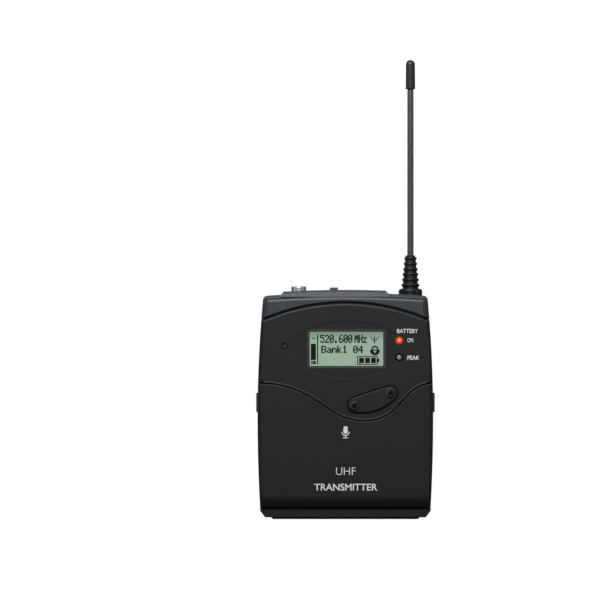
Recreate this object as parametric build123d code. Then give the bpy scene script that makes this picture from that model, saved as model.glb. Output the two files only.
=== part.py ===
from build123d import *

import math
import os

# A wireless bodypack transmitter: a pocket-size box worn on a belt, with a whip antenna, a
# microphone socket and a mute switch on its top, a display and a rocker key on its front, and
# a battery door that fills the lower front and swings down on a pin at its foot.
# Units are millimetres. X runs across the front from left to right, Y from front to back and
# Z up. The origin is on the flat foot, mid-width and mid-depth of the case.

# ---------------------------------------------------------------- driving dimensions

FRONT_Y = -12.0  # outer face of the front panel
BACK_Y = 12.0  # outer face of the back
SPLIT_Y = -7.0  # where the front parts meet the rear shell
WALL = 1.5
REVEAL = 0.35  # the front parts stand in from the rear shell's outline by this much
GAP = 0.5  # shadow gap round the battery door
CAP_GAP = 0.72  # shadow gap under the cap's front
REAR_GAP = 0.16  # and the fine joint round its back
ROCKER_GAP = 0.48  # shadow gap round the rocker key
FIT = 0.15  # play between parts that only pass each other
RUN = 0.05  # radial clearance of a turning or sliding fit
LIP = 0.9  # thickness of the walls that stand up inside the cap
LIP_RISE = 1.1  # and how far they stand above the cap's lower edge

# Front outline: bowed sides, a crowned top and chamfered lower corners.
HALF_WIDTH = 31.55
WIDEST_Z = 36.5
SIDE_R = 462.0  # the sides bow in above the widest place with this radius
LOW_SIDE_R = 580.0  # and below it with this one
CROWN_Z = 81.15
CROWN_R = 400.0
TOP_CORNER_R = 1.7
BASE_Z = 0.65
BASE_HALF = 28.8
CHAMFER_Z = 3.0
EDGE_R = 1.1  # rounding along the front edges
BACK_EDGE_R = 1.5

# At its foot the battery door bends back, leans in and ends in a barrel round its hinge.
BEND_Z = 8.6
BEND_R = 6.0
LEAN = 25.0
HINGE_Y, HINGE_Z = -9.7, 5.3
BARREL_R = (
    BEND_R
    + (HINGE_Y - FRONT_Y - BEND_R) * math.cos(math.radians(LEAN))
    + (HINGE_Z - BEND_Z) * math.sin(math.radians(LEAN))
)
SWEEP_R = BARREL_R + 0.12  # everything of the case keeps out of this circle round the hinge
HEEL_R = 2.6  # the door's side walls reach this far behind the hinge
PIN_R = 0.5
LUG_R = 0.9
LUG_X = (22.4, 25.4)
LUG_ROOM = 0.1  # clearance round a lug

# The sill of the rear shell that lies below the door.
SILL_Y = HINGE_Y - 0.05
SILL_Z = 3.8

# The cap's lower edge is one arc right through the case.
CAP_ARC_R = 74.4
CAP_ARC_TOP = 77.8
CAP_ARC_Z = CAP_ARC_TOP - CAP_ARC_R

# The cap's front plate stands out from a rounded shoulder, with a fine groove between the two.
PLATE_INSET = 1.05
PLATE_DROP = 0.3
PLATE_EDGE_R = 1.15
SHOULDER_Y = -10.6
SHOULDER_R = 1.3
GROOVE = 0.3

# The battery door's upper edge: corner points of a wave, and the radius at each.
WAVE_POINTS = [(-40, 48.9), (-19.5, 48.9), (0.4, 35.4), (13.45, 35.4), (26.5, 48.9), (40, 48.9)]
WAVE_RADII = [37.0, 21.0, 14.0, 12.2]

# The raised pad on the cap that carries the socket and the switch: two tiers.
PAD_X = (-23.0, 15.3)
PAD_Y = (-12.4, 8.6)  # its front is cut back by the lean
PAD_RISE = 0.5
PAD_LEAN = 35.0
TIER_X = (-22.4, 14.7)
TIER_Y = (-9.1, 7.9)
TIER_RISE = 1.08

# Display.
DISPLAY_X, DISPLAY_Z = 0.35, 61.1
DISPLAY_W, DISPLAY_H = 27.5, 13.4
OVAL_X, OVAL_Z = 0.35, 60.8
OVAL_A, OVAL_B = 20.2, 10.3

# Indicators beside the display.
LED_X = 19.26
LED_ON_Z = 64.2
LED_PEAK_Z = 58.0
LED_HOLE_R = 1.5
IR_X, IR_Z, IR_R = -21.9, 62.1, 1.2

# Rocker key: two end circles joined by arcs.
ROCKER_LOW = (3.55, 41.05)
ROCKER_HIGH = (16.05, 45.15)
ROCKER_LOW_R = 2.9
ROCKER_HIGH_R = 2.75
ROCKER_TOP_R = 200.0
ROCKER_BELLY_R = 17.0
ROCKER_PIN_R = 0.55
ROCKER_PIVOT_Y = -9.2
ROCKER_RISE = 0.35  # how far the key stands proud of the panel
BUMPS = [(3.2, 40.8), (16.05, 45.4)]  # low round bosses where the finger presses
BUMP_R = 1.8
BUMP_RISE = 0.42
BUMP_EDGE_R = 0.38

# Keys behind the door.
SET_X, SET_Z, SET_R = -20.5, 42.0, 2.2
POWER_X, POWER_Z, POWER_R = 21.3, 40.9, 1.9

# Battery door catches.
CATCH_Z = (38.4, 45.35)
CATCH_Y = (-10.6, -8.2)
CATCH_OUT = 32.0

# Battery cells, AA size, lying across the case one above the other.
CELL_R = 7.1
CELL_Y = -2.9
CELL_LOW_Z = 15.3
CELL_PITCH = 14.6
CELL_LEN = 49.0

# Boards.
FRONT_BOARD_Y = (-6.4, -5.4)
MAIN_BOARD_Y = (6.2, 7.4)

# Top controls.
JACK_X = -16.75
JACK_R = 1.8
JACK_COLLAR_R = 2.68
JACK_TOP_Z = 83.5
MUTE_X = -4.1
MUTE_TRAVEL = 3.0
MUTE_TOP_Z = 83.2
ANTENNA_X = 23.55
WHIP_R = 1.13
BOOT_BASE_Z = 80.5
BOOT_TOP_Z = 94.7
BOOT_RINGS = [(84.0, 3.3), (85.95, 3.05), (87.9, 2.87), (89.75, 2.65), (91.7, 2.42), (93.65, 2.27)]
TIP_TOP_Z = 165.2
TIP_LEN = 10.5
TIP_R = 1.63

# Belt clip.
WIRE_R = 0.95
CLIP_PIVOT_Y = 9.4
CLIP_PIVOT_Z = 56.0
CLIP_LEG_X = 24.0
CLIP_END_X = 28.0
CLIP_PLANE_Y = BACK_Y + 4.3 + WIRE_R

# Case screws, M2.
SCREW_R = 0.95
BOSS_R = 2.2
BOSS_END_Y = 8.5
SCREW_SPOTS = [(-25.4, 67.0), (25.4, 67.0), (-24.0, 22.6), (24.0, 22.6)]


# ---------------------------------------------------------------- small helpers


def plane_at(y):
    """A plane facing the front, whose own x and y are the case's X and Z."""
    return Plane(origin=(0, y, 0), x_dir=(1, 0, 0), z_dir=(0, -1, 0))


def slab(face, y_front, y_back):
    """A front-view face made solid between two depths."""
    return extrude(plane_at(y_back) * face, amount=y_back - y_front)


def block(x, y, z):
    """A box from (low, high) pairs."""
    centre = Pos((x[0] + x[1]) / 2, (y[0] + y[1]) / 2, (z[0] + z[1]) / 2)
    return centre * Box(x[1] - x[0], y[1] - y[0], z[1] - z[0])


def rod_x(y, z, r, x):
    return Pos((x[0] + x[1]) / 2, y, z) * Rot(0, 90, 0) * Cylinder(r, x[1] - x[0])


def rod_y(x, z, r, y):
    return Pos(x, (y[0] + y[1]) / 2, z) * Rot(90, 0, 0) * Cylinder(r, y[1] - y[0])


def rod_z(x, y, r, z):
    return Pos(x, y, (z[0] + z[1]) / 2) * Cylinder(r, z[1] - z[0])


def rectangle(x, z):
    """A front-view rectangle from (low, high) pairs."""
    return Pos((x[0] + x[1]) / 2, (z[0] + z[1]) / 2) * Rectangle(x[1] - x[0], z[1] - z[0])


def both_sides(shape):
    """The shape and its mirror image in the case's middle plane."""
    return shape + mirror(shape, Plane.YZ)


def pick(edges, test):
    """The edges whose middle point passes a test."""
    return [e for e in edges if test(e.position_at(0.5))]


def soften(shape, edges, radius):
    """Fillets the edges, or leaves them sharp and says so where the fillet doesn't fit."""
    try:
        return fillet(edges, radius)
    except Exception:
        print("a fillet of", radius, "did not fit")
        return shape


# ---------------------------------------------------------------- outlines in front view


def side_x(z, inset=0.0):
    """Half the case's width at a height."""
    radius = SIDE_R if z > WIDEST_Z else LOW_SIDE_R
    return HALF_WIDTH - radius + math.sqrt((radius - inset) ** 2 - (z - WIDEST_Z) ** 2)


def crown_z(x, rise=0.0):
    """Height of the cap's top surface, or of one that lies above it."""
    return CROWN_Z - CROWN_R + math.sqrt((CROWN_R + rise) ** 2 - x * x)


def outline(inset=0.0):
    """The case in front view, drawn in by an inset."""
    top_z = crown_z(side_x(CROWN_Z, inset), -inset)
    top_x = side_x(top_z, inset)
    low_z = BASE_Z + inset
    low_x = side_x(low_z, inset)
    widest = (HALF_WIDTH - inset, WIDEST_Z)
    upper = ThreePointArc(widest, (side_x(60, inset), 60), (top_x, top_z))
    lower = ThreePointArc((low_x, low_z), (side_x(20, inset), 20), widest)
    crown = ThreePointArc((top_x, top_z), (0, CROWN_Z - inset), (-top_x, top_z))
    foot = Line((-low_x, low_z), (low_x, low_z))
    sides = [upper, lower, mirror(upper, Plane.YZ), mirror(lower, Plane.YZ)]
    face = make_face([*sides, crown, foot])
    if inset < TOP_CORNER_R:
        face = fillet(face.vertices().group_by(Axis.Y)[-1], TOP_CORNER_R - inset)
    slope = math.degrees(math.atan2(CHAMFER_Z - BASE_Z, side_x(CHAMFER_Z) - BASE_HALF))
    corner = Pos(BASE_HALF, BASE_Z) * Rot(0, 0, slope) * Pos(0, inset - 10) * Rectangle(20, 20)
    return face - corner - mirror(corner, Plane.YZ)


def wave_face(grow):
    """Everything in front view below the battery door's wavy upper edge."""
    top = FilletPolyline(*WAVE_POINTS, radius=WAVE_RADII)
    (left, left_z), (right, right_z) = WAVE_POINTS[0], WAVE_POINTS[-1]
    rest = Polyline((right, right_z), (right, -20), (left, -20), (left, left_z))
    return offset(make_face([top, rest]), amount=grow)


def circle_meeting(a, ra, b, rb, side):
    """Where two circles cross, on the side asked for."""
    dx, dz = b[0] - a[0], b[1] - a[1]
    d = math.hypot(dx, dz)
    along = (ra * ra - rb * rb + d * d) / (2 * d)
    up = side * math.sqrt(ra * ra - along * along)
    return (a[0] + (dx * along - dz * up) / d, a[1] + (dz * along + dx * up) / d)


def pebble(grow):
    """The rocker key's outline: two end circles inside two larger arcs that touch both."""
    r1, r2 = ROCKER_LOW_R + grow, ROCKER_HIGH_R + grow
    big = {1: ROCKER_BELLY_R + grow, -1: ROCKER_TOP_R + grow}
    touch = {}
    middle = {}
    for side, radius in big.items():
        cx, cz = circle_meeting(ROCKER_LOW, radius - r1, ROCKER_HIGH, radius - r2, side)
        points = []
        for px, pz in (ROCKER_LOW, ROCKER_HIGH):
            d = math.hypot(px - cx, pz - cz)
            points.append((cx + (px - cx) / d * radius, cz + (pz - cz) / d * radius))
        mx, mz = (points[0][0] + points[1][0]) / 2, (points[0][1] + points[1][1]) / 2
        d = math.hypot(mx - cx, mz - cz)
        touch[side] = points
        middle[side] = (cx + (mx - cx) / d * radius, cz + (mz - cz) / d * radius)
    dx, dz = ROCKER_HIGH[0] - ROCKER_LOW[0], ROCKER_HIGH[1] - ROCKER_LOW[1]
    d = math.hypot(dx, dz)
    low_end = (ROCKER_LOW[0] - dx / d * r1, ROCKER_LOW[1] - dz / d * r1)
    high_end = (ROCKER_HIGH[0] + dx / d * r2, ROCKER_HIGH[1] + dz / d * r2)
    return make_face(
        [
            ThreePointArc(touch[1][0], middle[1], touch[1][1]),
            ThreePointArc(touch[1][1], high_end, touch[-1][1]),
            ThreePointArc(touch[-1][1], middle[-1], touch[-1][0]),
            ThreePointArc(touch[-1][0], low_end, touch[1][0]),
        ]
    )


def oval(grow=0.0):
    return Pos(OVAL_X, OVAL_Z) * Ellipse(OVAL_A + grow, OVAL_B + grow)


def window(grow=0.0):
    """The display's rectangle in front view."""
    return Pos(DISPLAY_X, DISPLAY_Z) * Rectangle(DISPLAY_W + 2 * grow, DISPLAY_H + 2 * grow)


# ---------------------------------------------------------------- case volumes


def front_of_foot(inset=0.0):
    """What to cut away in front of the door's foot, where it bends back and then leans in."""
    centre_y, radius, far = FRONT_Y + BEND_R, BEND_R - inset, 10.0

    def on_bend(degrees):
        angle = math.radians(degrees)
        return (centre_y - radius * math.cos(angle), BEND_Z - radius * math.sin(angle))

    end_y, end_z = on_bend(LEAN)
    lean = math.radians(LEAN)
    low = (end_y + far * math.sin(lean), end_z - far * math.cos(lean))
    bend = ThreePointArc(on_bend(0), on_bend(LEAN / 2), on_bend(LEAN))
    ahead = FRONT_Y - far
    rest = Polyline(on_bend(LEAN), low, (ahead, low[1]), (ahead, BEND_Z), on_bend(0))
    return extrude(Plane.YZ * make_face([bend, rest]), amount=50, both=True)


def past_barrel():
    """Everything at the door's foot that would meet the sill or the rear shell."""
    beyond = Pos(0, HINGE_Y, HINGE_Z) * Rot(LEAN, 0, 0) * block((-50, 50), (-20, 20), (-20, 0))
    heel = rod_x(HINGE_Y, HINGE_Z, HEEL_R, (-51, 51))
    heel &= block((-52, 52), (HINGE_Y, 0), (SILL_Z + FIT, 20))
    return beyond - rod_x(HINGE_Y, HINGE_Z, BARREL_R, (-51, 51)) - heel


def front_volume():
    """The outside of the front parts down to the sill, one lump with rounded edges."""
    above_sill = block((-50, 50), (-50, 50), (CHAMFER_Z + 0.2, 120))
    lump = (slab(outline(REVEAL), FRONT_Y, SPLIT_Y) & above_sill) - front_of_foot()

    def on_front_edge(p):
        flat_part = abs(p.Y - FRONT_Y) < 0.01 and p.Z > BEND_Z + 0.1
        foot_part = p.Z > CHAMFER_Z + 0.3 and p.Z < BEND_Z and p.Y < SPLIT_Y - 0.5 and abs(p.X) > 20
        return flat_part or foot_part

    return soften(lump, pick(lump.edges(), on_front_edge), EDGE_R)


def rear_volume():
    """The outside of the rear shell and of the cap's rear part."""
    lump = slab(outline(), SPLIT_Y, BACK_Y)
    lump = soften(lump, pick(lump.edges(), lambda p: abs(p.Y - BACK_Y) < 0.01), BACK_EDGE_R)
    return chamfer(pick(lump.edges(), lambda p: abs(p.Y - SPLIT_Y) < 0.01), 0.25)


def cavity():
    """The space inside the walls."""
    front = slab(outline(REVEAL + WALL), FRONT_Y + WALL, SPLIT_Y) - front_of_foot(WALL)
    rear = slab(outline(WALL), SPLIT_Y, BACK_Y - WALL)
    between = slab(outline(REVEAL + WALL), SPLIT_Y - 1, SPLIT_Y + 1)
    return front + rear + between


def above_cap_arc(shift=0.0):
    """Everything above the cap's lower edge."""
    region = block((-50, 50), (-50, 50), (CAP_ARC_Z, 120))
    return region - rod_y(0, CAP_ARC_Z, CAP_ARC_R + shift, (-51, 51))


def below_cap_arc(shift=0.0):
    """Everything below the cap's lower edge."""
    return rod_y(0, CAP_ARC_Z, CAP_ARC_R + shift, (-50, 50))


FRONT = front_volume()
REAR = rear_volume()
CAVITY = cavity()
CAVITY_LIMIT = slab(outline(REVEAL + WALL - 0.2), -30, 20)


def hinge_sweep():
    """The cylinder that the battery door's foot turns in."""
    return rod_x(HINGE_Y, HINGE_Z, SWEEP_R, (-50, 50))


def arc_band(low, high):
    """The band between two arcs beside the cap's lower edge, through the whole depth."""
    return below_cap_arc(high) - rod_y(0, CAP_ARC_Z, CAP_ARC_R + low, (-51, 51))


def collar(inset, thickness, y_front, y_back):
    """A wall that follows the case's sides and its back, with nothing under the cap's roof."""
    hollow = slab(outline(inset + thickness), y_front - 1, y_back - thickness)
    outside = slab(outline(inset), y_front, y_back)
    return outside - hollow - Pos(0, 0, 3) * hollow


# ---------------------------------------------------------------- front panel


def front_shell():
    panel_edge = slab(wave_face(GAP / 2), -30, SPLIT_Y + 5)
    outer = (FRONT & below_cap_arc(-CAP_GAP / 2)) - panel_edge
    arc_edges = pick(
        outer.edges(),
        lambda p: abs(math.hypot(p.X, p.Z - CAP_ARC_Z) - CAP_ARC_R + CAP_GAP / 2) < 0.05
        and abs(p.Y - FRONT_Y) < 0.05,
    )
    outer = soften(outer, arc_edges, 0.9)
    wave_edges = pick(
        outer.edges(),
        lambda p: abs(p.Y - FRONT_Y) < 0.02 and p.Z < 50 and abs(p.X) < 29.5,
    )
    outer = soften(outer, wave_edges, 0.35)
    shell = (outer + wave_bead()) - CAVITY
    shell += front_lip()
    shell += apron()
    shell += front_bosses()
    # display pocket and window
    shell -= slab(oval(0.06), FRONT_Y - 1, FRONT_Y + 1.0)
    shell -= slab(window(0.45), FRONT_Y - 1, FRONT_Y + WALL + 1)
    for z in (LED_ON_Z, LED_PEAK_Z):
        shell -= rod_y(LED_X, z, LED_HOLE_R, (FRONT_Y - 1, FRONT_Y + 3))
    shell -= rod_y(IR_X, IR_Z, IR_R, (FRONT_Y - 1, FRONT_Y + 3))
    # rocker opening
    shell -= slab(pebble(ROCKER_GAP / 2), FRONT_Y - 1, FRONT_Y + WALL + 0.01)
    shell -= slab(pebble(0.9), FRONT_Y + WALL, FRONT_Y + 5)
    shell += rocker_supports()
    return shell - in_rocker_frame(Pos(0, 0, -0.75) * Cylinder(ROCKER_PIN_R + 0.01, 11.8))


def wave_bead():
    """A faint raised bead along the panel's wavy edge, with a sloping upper side."""
    foot = plane_at(FRONT_Y + 0.1) * wave_face(1.1)
    crest = plane_at(FRONT_Y - 0.12) * wave_face(0.33)
    bead = loft([foot, crest], ruled=True) - slab(wave_face(GAP / 2), -20, 0)
    return bead & slab(rectangle((-29.2, 29.2), (30, 55)), -20, 0)


def front_lip():
    """The panel's top edge steps back behind the cap's front wall."""
    inner = FRONT_Y + WALL
    lip = slab(outline(REVEAL + WALL + FIT), inner + FIT, inner + LIP + FIT)
    lip &= arc_band(-1.4, LIP_RISE)
    root = slab(outline(REVEAL + WALL - 0.1), inner - 0.1, inner + LIP + FIT)
    return lip + (root & arc_band(-1.4, -CAP_GAP / 2))


def apron():
    """The recessed plate behind the door's upper part, which carries the two hidden keys."""
    reach = 24.6
    behind_door = slab(wave_face(1.6), -20, 20)
    plate = slab(rectangle((-reach, reach), (38.6, 52.0)), -9.2, -8.0) & behind_door
    rim = slab(rectangle((-29.3, 29.3), (30, 52.0)), FRONT_Y + WALL - 0.1, -8.0)
    rim = (rim & behind_door) - slab(wave_face(GAP / 2 + 0.15), -20, 20)
    wings = both_sides(block((24.0, 29.2), (-6.6, -5.7), (38.6, 50.0)))
    cheeks = both_sides(block((24.0, 24.6), (-9.0, -5.7), (38.6, 50.0)))
    bridge = both_sides(block((24.0, 29.2), (-9.0, -5.7), (49.2, 50.4)))
    plate = plate + (rim & CAVITY_LIMIT) + wings + cheeks + (bridge & CAVITY_LIMIT)
    plate -= both_sides(block((27.0, 29.5), (-7.5, -5.0), (40.2, 43.8)))
    plate -= rod_y(SET_X, SET_Z, SET_R + FIT, (-12, -5))
    plate -= rod_y(POWER_X, POWER_Z, POWER_R + FIT, (-12, -5))
    return plate + gap_lip()


def gap_lip():
    """A lip that closes the shadow gap from behind where the door's wave dips below the apron."""
    band = slab(wave_face(1.6), -10.35, -9.75) - slab(wave_face(-1.2), -20, 0)
    return band & slab(rectangle((-8.0, 18.5), (30, 42)), -20, 0)


def front_bosses():
    """Two long screw bosses that reach the rear shell."""
    x, z = SCREW_SPOTS[1]
    boss = rod_y(x, z, BOSS_R, (FRONT_Y + WALL - 0.1, BOSS_END_Y))
    return both_sides(boss - rod_y(x, z, SCREW_R + 0.02, (2.0, BOSS_END_Y + 1)))


def rocker_frame():
    """The rocker's middle point, and a unit vector along it."""
    dx, dz = ROCKER_HIGH[0] - ROCKER_LOW[0], ROCKER_HIGH[1] - ROCKER_LOW[1]
    d = math.hypot(dx, dz)
    middle = ((ROCKER_LOW[0] + ROCKER_HIGH[0]) / 2, (ROCKER_LOW[1] + ROCKER_HIGH[1]) / 2)
    return middle, (dx / d, dz / d)


def in_rocker_frame(shape):
    """Places a shape drawn about the origin, long along X and pivoting about Z, at the rocker."""
    (mx, mz), (ux, uz) = rocker_frame()
    return Pos(mx, ROCKER_PIVOT_Y, mz) * Rot(0, -math.degrees(math.atan2(uz, ux)), 0) * shape


def rocker_supports():
    """Two posts inside the panel that hold the rocker's pivot pin."""
    y = FRONT_Y + WALL - 0.1 - ROCKER_PIVOT_Y
    posts = block((-1.2, 1.2), (y, 1.0), (-6.6, -5.3)) + block((-1.2, 1.2), (y, 1.0), (3.9, 5.1))
    return in_rocker_frame(posts)


def rocker_pivot_pin():
    return in_rocker_frame(Pos(0, 0, -0.75) * Cylinder(ROCKER_PIN_R, 11.7))


def rocker_key():
    """The key with its two finger bosses, a skirt behind the panel and a rib round its pin."""
    top, back = FRONT_Y - ROCKER_RISE, -9.4
    key = slab(pebble(-ROCKER_GAP / 2), top, back)
    key = soften(key, pick(key.edges(), lambda p: abs(p.Y - top) < 0.01), 0.4)
    key += slab(pebble(0.45), FRONT_Y + WALL + 0.55, back)
    for x, z in BUMPS:
        bump = rod_y(x, z, BUMP_R, (top - BUMP_RISE, top + 0.5))
        key += soften(bump, pick(bump.edges(), lambda p: p.Y < top - 0.1), BUMP_EDGE_R)
    key += in_rocker_frame(block((-1.25, 1.25), (-0.3, 0.9), (-2.6, 2.4)))
    for x, z in (ROCKER_LOW, ROCKER_HIGH):
        key += rod_y(x, z, 0.8, (back - 0.1, -7.97))
    return key - in_rocker_frame(Cylinder(ROCKER_PIN_R + RUN, 20))


def key_post(x, z, r):
    """A round push key with a collar behind the apron."""
    cap = rod_y(x, z, r, (-10.05, -7.7))
    cap = soften(cap, pick(cap.edges(), lambda p: abs(p.Y + 10.05) < 0.01), 0.3)
    return cap + rod_y(x, z, r + 0.5, (-7.95, -7.65))


def set_key():
    return key_post(SET_X, SET_Z, SET_R)


def power_key():
    return key_post(POWER_X, POWER_Z, POWER_R)


# ---------------------------------------------------------------- display


def display_bezel():
    bezel = slab(oval(), FRONT_Y + 0.22, FRONT_Y + 0.98)
    opening = slab(window(-0.45), FRONT_Y - 1, FRONT_Y + 2)
    taper = loft([plane_at(FRONT_Y + 0.2) * window(0), plane_at(FRONT_Y + 0.75) * window(-0.45)])
    bezel = bezel - opening - taper
    for z in (LED_ON_Z, LED_PEAK_Z):
        bezel -= rod_y(LED_X, z, LED_HOLE_R, (FRONT_Y - 1, FRONT_Y + 3))
    return bezel


def display_lens():
    return slab(window(0.4), FRONT_Y + 1.0, FRONT_Y + 1.8)


def lcd_glass():
    return slab(window(0.9), FRONT_Y + 1.85, FRONT_Y + 2.95)


def lcd_frame():
    """A folded metal frame that clips the display to its light box."""
    outer = slab(window(1.4), FRONT_Y + 1.85, FRONT_Y + 5.0)
    outer -= slab(window(1.0), FRONT_Y + 1.8, FRONT_Y + 5.1)
    tabs = slab(rectangle((DISPLAY_X - 10, DISPLAY_X - 6), (51.2, 53.1)), -7.4, -6.45)
    tabs += slab(rectangle((DISPLAY_X + 6, DISPLAY_X + 10), (51.2, 53.1)), -7.4, -6.45)
    return outer + (tabs - slab(window(1.2), -20, 0))


def lcd_backlight():
    return slab(window(0.9), FRONT_Y + 3.0, FRONT_Y + 5.55)


def light_pipe(z):
    """A clear rod with a domed end and a collar, which carries an indicator's light forward."""
    r = 1.05
    pipe = rod_y(LED_X, z, r, (FRONT_Y + 0.45, FRONT_Y + 4.4))
    pipe = soften(pipe, pick(pipe.edges(), lambda p: p.Y < FRONT_Y + 0.5), 0.7)
    return pipe + rod_y(LED_X, z, 1.9, (FRONT_Y + WALL + 0.1, FRONT_Y + WALL + 0.7))


def led_holder():
    """Two black sleeves that keep stray light out of the indicator holes."""
    holder = None
    for z in (LED_ON_Z, LED_PEAK_Z):
        sleeve = rod_y(LED_X, z, LED_HOLE_R - 0.03, (FRONT_Y + 0.5, FRONT_Y + WALL + 0.05))
        sleeve -= rod_y(LED_X, z, 1.08, (FRONT_Y, FRONT_Y + 4))
        holder = sleeve if holder is None else holder + sleeve
    return holder


def indicator_leds():
    leds = []
    for z in (LED_ON_Z, LED_PEAK_Z):
        leds.append(block((LED_X - 0.8, LED_X + 0.8), (-7.3, FRONT_BOARD_Y[0]), (z - 0.4, z + 0.4)))
    leds.append(block((IR_X - 0.8, IR_X + 0.8), (-7.6, FRONT_BOARD_Y[0]), (IR_Z - 0.6, IR_Z + 0.6)))
    return leds[0] + leds[1] + leds[2]


def ir_window():
    lens = rod_y(IR_X, IR_Z, IR_R - 0.04, (FRONT_Y + 0.55, FRONT_Y + 3.6))
    lens = soften(lens, pick(lens.edges(), lambda p: p.Y < FRONT_Y + 0.6), 0.4)
    return lens + rod_y(IR_X, IR_Z, 1.9, (FRONT_Y + WALL + 0.1, FRONT_Y + WALL + 0.7))


# ---------------------------------------------------------------- boards and what is on them


def front_board():
    board = slab(rectangle((-27.0, 27.0), (38.9, 74.0)), *FRONT_BOARD_Y) & below_cap_arc(-3.0)
    for x, z in SCREW_SPOTS[:2]:
        board -= rod_y(x, z, 2.5, (-20, 20))
    board -= both_sides(block((23.6, 28), (-8, 0), (30, 51)))
    return board


def main_board():
    board = slab(rectangle((-26.8, 26.8), (9.0, 71.0)), *MAIN_BOARD_Y)
    board -= both_sides(block((21.4, 30), (0, 12), (50.8, 61.2)))
    for x, z in SCREW_SPOTS:
        board -= rod_y(x, z, 2.5, (-20, 20))
    return board


def tact_switch(x, z, y_top):
    """A small square push switch standing on the front board."""
    base = block((x - 2.2, x + 2.2), (-7.1, FRONT_BOARD_Y[0]), (z - 2.2, z + 2.2))
    return base + rod_y(x, z, 1.1, (y_top, -7.0))


def key_switches():
    return tact_switch(SET_X, SET_Z, -7.3) + tact_switch(POWER_X, POWER_Z + 0.4, -7.3)


def rocker_switches():
    low = tact_switch(ROCKER_LOW[0], ROCKER_LOW[1] + 0.2, -7.6)
    high = tact_switch(ROCKER_HIGH[0] - 1.0, ROCKER_HIGH[1] - 0.3, -7.6)
    return low + high


def shield_can():
    """The pressed metal lid over the radio stage, on the back of the main board."""
    outer = block((-20, 8), (MAIN_BOARD_Y[1], 9.6), (40, 62))
    outer = soften(outer, pick(outer.edges(), lambda p: p.Y > 9.55), 0.5)
    return outer - block((-19.7, 7.7), (MAIN_BOARD_Y[1] - 1, 9.3), (40.3, 61.7))


def board_chips():
    """Packaged parts on the boards: processor, audio codec, regulator and memory."""
    y = MAIN_BOARD_Y[0]
    chips = block((-8, 0), (y - 1.1, y), (44, 52)) + block((6, 11), (y - 1.2, y), (48, 53))
    chips += block((-20, -15), (y - 1.5, y), (45, 51))
    chips += block((12, 18), (y - 1.0, y), (56, 60))
    front = FRONT_BOARD_Y[1]
    chips += block((-9, -1), (front, front + 1.2), (56, 64))
    return chips + block((5, 10), (front, front + 1.0), (60, 65))


def board_capacitors():
    """Upright cylindrical capacitors and the crystal can on the main board."""
    y = MAIN_BOARD_Y[0]
    cans = [(14.5, 44.5, 2.5, 5.4), (20.0, 46.0, 2.0, 5.4), (-12.0, 57.0, 2.5, 5.4), (6.0, 43.0, 1.6, 3.0)]
    caps = None
    for x, z, r, h in cans:
        can = rod_y(x, z, r, (y - h, y))
        can = soften(can, pick(can.edges(), lambda p: p.Y < y - h + 0.01), 0.3)
        caps = can if caps is None else caps + can
    return caps


def board_connector():
    """The stacking connector that joins the two boards."""
    plug = block((-6, 8), (FRONT_BOARD_Y[1], 0.4), (67.6, 70.4))
    socket = block((-6.8, 8.8), (0.45, MAIN_BOARD_Y[0]), (67.0, 71.0))
    return plug + socket


# ---------------------------------------------------------------- rear shell


def rear_shell():
    outer = REAR & below_cap_arc(-REAR_GAP / 2)
    shell = (outer - CAVITY) + sill() + foot_pad()
    shell -= hinge_sweep()
    shell += hinge_lugs()
    shell += rear_lip()
    shell += clip_pockets()
    shell += screw_pads()
    shell += board_ledges()
    for x, z in SCREW_SPOTS:
        shell -= rod_y(x, z, 1.1, (5, 13)) + rod_y(x, z, 2.15, (BACK_Y - 1.3, 13))
    shell -= clip_holes()
    shell -= charging_slots(0.05, 3.0)
    shell -= label_recess()
    return shell


def rear_lip():
    """A thin wall that stands up inside the cap and closes the gap beneath it."""
    start_y = SPLIT_Y + 1.4
    lip = collar(WALL + FIT, LIP, start_y, BACK_Y - WALL - FIT)
    root = collar(WALL - 0.1, LIP + FIT, start_y, BACK_Y - WALL + 0.1)
    return (lip & arc_band(-1.8, LIP_RISE)) + (root & arc_band(-1.8, -REAR_GAP / 2))


def sill():
    """The bar below the door, which closes the foot and holds the hinge's lugs."""
    below_top = block((-50, 50), (-50, 50), (-5, SILL_Z))
    bar = slab(outline(), SILL_Y, SPLIT_Y + 0.6) & below_top
    return soften(bar, pick(bar.edges(), lambda p: abs(p.Y - SILL_Y) < 0.01), 0.2)


def hinge_lugs():
    """Two lugs that rise behind the barrel and reach forward to hold the door's hinge pin."""
    arm_z = (HINGE_Z - 0.2, HINGE_Z + 0.7)
    lug = rod_x(HINGE_Y, HINGE_Z, LUG_R, LUG_X)
    lug += block(LUG_X, (HINGE_Y, SPLIT_Y + 0.5), arm_z)
    lug += block(LUG_X, (SPLIT_Y + 0.05, SPLIT_Y + 1.0), (BASE_Z + 1, arm_z[1]))
    lug -= rod_x(HINGE_Y, HINGE_Z, PIN_R + 0.01, (LUG_X[0] - 1, LUG_X[1] + 1))
    return both_sides(lug)


def foot_pad():
    pad = slab(rectangle((-26.5, 26.5), (0, BASE_Z + 0.2)), -9.5, 9.8)
    low = pick(pad.edges(), lambda p: p.Z < 0.01)
    return chamfer(low, 0.5)


def clip_pockets():
    """Walls of the two pockets that take the belt clip's ends."""
    outer = block((21.6, 29.6), (6.0, BACK_Y - 1), (51.4, 60.9))
    return both_sides(outer & slab(outline(0.5), -20, BACK_Y))


def clip_holes():
    """The pockets themselves, and the blind holes for the clip's ends."""
    pocket = block((22.7, 25.4), (7.2, BACK_Y + 1), (52.8, 59.4))
    hole = rod_x(CLIP_PIVOT_Y, CLIP_PIVOT_Z, WIRE_R + RUN, (25.3, CLIP_END_X + 0.2))
    return both_sides(pocket + hole)


def screw_pads():
    pads = None
    for x, z in SCREW_SPOTS:
        pad = rod_y(x, z, 3.0, (8.7, BACK_Y - WALL + 0.1))
        pads = pad if pads is None else pads + pad
    return pads


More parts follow.
